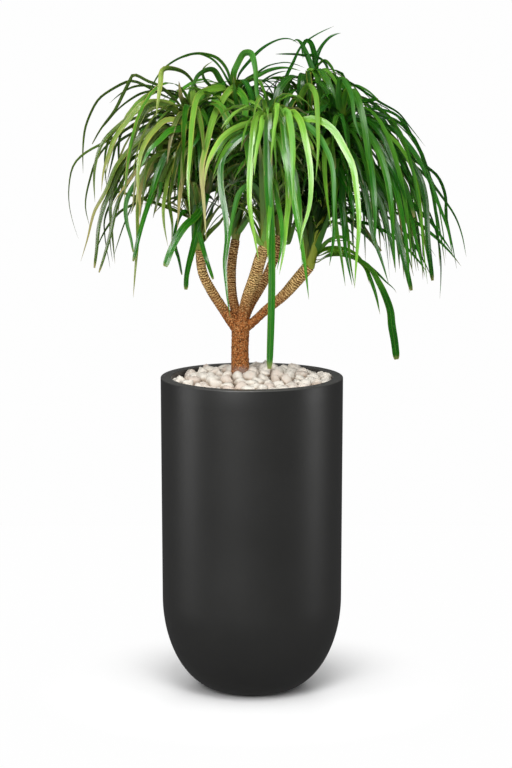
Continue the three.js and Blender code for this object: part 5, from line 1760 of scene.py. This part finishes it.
class PALM_OT_crowns(bpy.types.Operator):
    """Grows the five crowns of strap leaves"""

    bl_idname = "palm.make_crowns"
    bl_label = "Crowns of leaves"

    def execute(self, context):
        sizes = context.scene.palm_leaves
        for number, name in enumerate(CROWN_TIPS):
            finish = leaf_finish("leaf_" + name, sizes, CROWN_LOOKS[name][6])
            tree = crown_tree(finish)
            blades = standout_blades(name, number) + rule_blades(name, number, sizes)
            lines = line_mesh("leaf_lines_" + name, blades + [stem_rows(name)])
            mesh = run_tree(lines, tree, {"Fold": sizes.fold, "Thickness": sizes.thickness})
            new_piece("leaves_" + name, mesh, None, CROWN_LOOKS[name][-1], ["crown_" + name])
        return {"FINISHED"}


# Floor, light and camera


def floor_finish(sizes):
    """Plain pale paper with a hint of tooth, which fades into the white surround."""
    material, nodes = new_finish("pale_floor")
    tooth = nodes.noise(nodes.place(), 60.0, 2.0)
    far = nodes.vector("LENGTH", {0: nodes.place()}, "Value").rising(*FLOOR_FADE)
    colour = nodes.shaded(opaque(sizes.floor), (0.99 + tooth * 0.02) * (1.0 - far))
    white = nodes.blend(far, (0, 0, 0, 1), (1, 1, 1, 1))
    sockets = {"Base Color": colour, "Roughness": 0.9, "Specular IOR Level": 0.1}
    sockets.update({"Emission Color": white, "Emission Strength": WHITE})
    surface(nodes, sockets)
    return material


def add_floor(sizes):
    reach = FLOOR_REACH
    corners = [(-reach, -reach, 0), (reach, -reach, 0), (reach, reach, 0), (-reach, reach, 0)]
    mesh = mesh_of("floor", corners, [(0, 1, 2, 3)])
    mesh.materials.append(floor_finish(sizes))
    floor = bpy.data.objects.new("floor", mesh)
    bpy.context.scene.collection.objects.link(floor)
    floor.visible_glossy = False


def aim(thing, place, target):
    thing.location = place
    way = Vector(target) - Vector(place)
    thing.rotation_euler = way.to_track_quat("-Z", "Y").to_euler()


def add_light(name, kind, place, target, power, sheen, settings):
    """A light aimed at a target. It shows in the gloss only with sheen."""
    light = bpy.data.lights.new(name, kind)
    light.energy = power
    for key, value in settings.items():
        setattr(light, key, value)
    holder = bpy.data.objects.new(name, light)
    holder.visible_glossy = sheen
    bpy.context.scene.collection.objects.link(holder)
    aim(holder, place, target)


def add_surround(sizes):
    """An even white surround that also lights the plant."""
    world = bpy.data.worlds.new("white_surround")
    world.use_nodes = True
    world.node_tree.nodes.clear()
    nodes = Nodes(world.node_tree)
    seen = nodes.node("ShaderNodeLightPath", {}, {}, "Is Camera Ray")
    strength = seen * (WHITE - sizes.sky) + sizes.sky
    light = nodes.node("ShaderNodeBackground", {}, {"Color": (1, 1, 1, 1), "Strength": strength})
    nodes.node("ShaderNodeOutputWorld", {}, {"Surface": light})
    bpy.context.scene.world = world


def add_camera():
    data = bpy.data.cameras.new("camera")
    data.lens = CAMERA_LENS
    data.sensor_width = CAMERA_SENSOR
    data.sensor_fit = "AUTO"
    camera = bpy.data.objects.new("camera", data)
    bpy.context.scene.collection.objects.link(camera)
    aim(camera, CAMERA_PLACE, CAMERA_AIM)
    bpy.context.scene.camera = camera


class PALM_OT_stage(bpy.types.Operator):
    """Lays the floor and sets the lights and the camera"""

    bl_idname = "palm.set_stage"
    bl_label = "Floor, light and camera"

    def execute(self, context):
        sizes = context.scene.palm_stage
        add_floor(sizes)
        add_surround(sizes)
        wide = {"shape": "RECTANGLE", "size": 1.5, "size_y": 1.5}
        low = {"shape": "RECTANGLE", "size": 1.3, "size_y": 0.8}
        soft = {"angle": math.radians(80)}
        crown = (0.0, 0.0, 1.0)
        foot = (0.0, 0.0, 0.4)
        lights = [
            ("front_light", "AREA", (-1.6, -3.6, 2.3), crown, sizes.key, True, wide),
            ("front_right_light", "AREA", (1.7, -3.5, 2.3), crown, 0.4 * sizes.key, False, wide),
            ("high_light", "AREA", (0.1, -2.7, 3.9), crown, sizes.high, True, wide),
            ("left_light", "AREA", (-3.1, -0.4, 0.42), foot, sizes.side, True, low),
            ("right_light", "AREA", (3.1, -0.4, 0.42), foot, sizes.side, True, low),
            ("back_light", "AREA", (0.4, 3.6, 2.0), crown, sizes.back, False, wide),
            ("top_light", "SUN", (0.0, -1.2, 4.0), (0, 0, 0), sizes.sun, False, soft),
        ]
        for light in lights:
            add_light(*light)
        add_camera()
        context.scene.view_settings.view_transform = "Standard"
        return {"FINISHED"}


class PALM_PT_sidebar(bpy.types.Panel):
    """The plant's pieces and their sizes"""

    bl_idname = "PALM_PT_sidebar"
    bl_label = "Potted ponytail palm"
    bl_space_type = "VIEW_3D"
    bl_region_type = "UI"
    bl_category = "Palm"

    def draw(self, context):
        for operator, owner in STEPS:
            box = self.layout.box()
            box.operator(operator.bl_idname)
            sizes = getattr(context.scene, owner)
            for key in sizes.__annotations__:
                box.prop(sizes, key)


STEPS = [
    (PALM_OT_stage, "palm_stage"),
    (PALM_OT_planter, "palm_planter"),
    (PALM_OT_bed, "palm_bed"),
    (PALM_OT_trunk, "palm_bark"),
    (PALM_OT_crowns, "palm_leaves"),
]
SIZE_GROUPS = {
    "palm_stage": StageSizes,
    "palm_planter": PlanterSizes,
    "palm_bed": BedSizes,
    "palm_bark": BarkSizes,
    "palm_leaves": LeafSizes,
}


def register():
    for group in SIZE_GROUPS.values():
        bpy.utils.register_class(group)
    for operator, _ in STEPS:
        bpy.utils.register_class(operator)
    bpy.utils.register_class(PALM_PT_sidebar)
    for name, group in SIZE_GROUPS.items():
        setattr(bpy.types.Scene, name, PointerProperty(type=group))


def unregister():
    for name in SIZE_GROUPS:
        delattr(bpy.types.Scene, name)
    bpy.utils.unregister_class(PALM_PT_sidebar)
    for operator, _ in reversed(STEPS):
        bpy.utils.unregister_class(operator)
    for group in reversed(SIZE_GROUPS.values()):
        bpy.utils.unregister_class(group)


def main():
    register()
    bpy.ops.palm.set_stage()
    bpy.ops.palm.make_planter()
    bpy.ops.palm.make_bed()
    bpy.ops.palm.make_trunk()
    bpy.ops.palm.make_crowns()


if __name__ == "__main__":
    main()
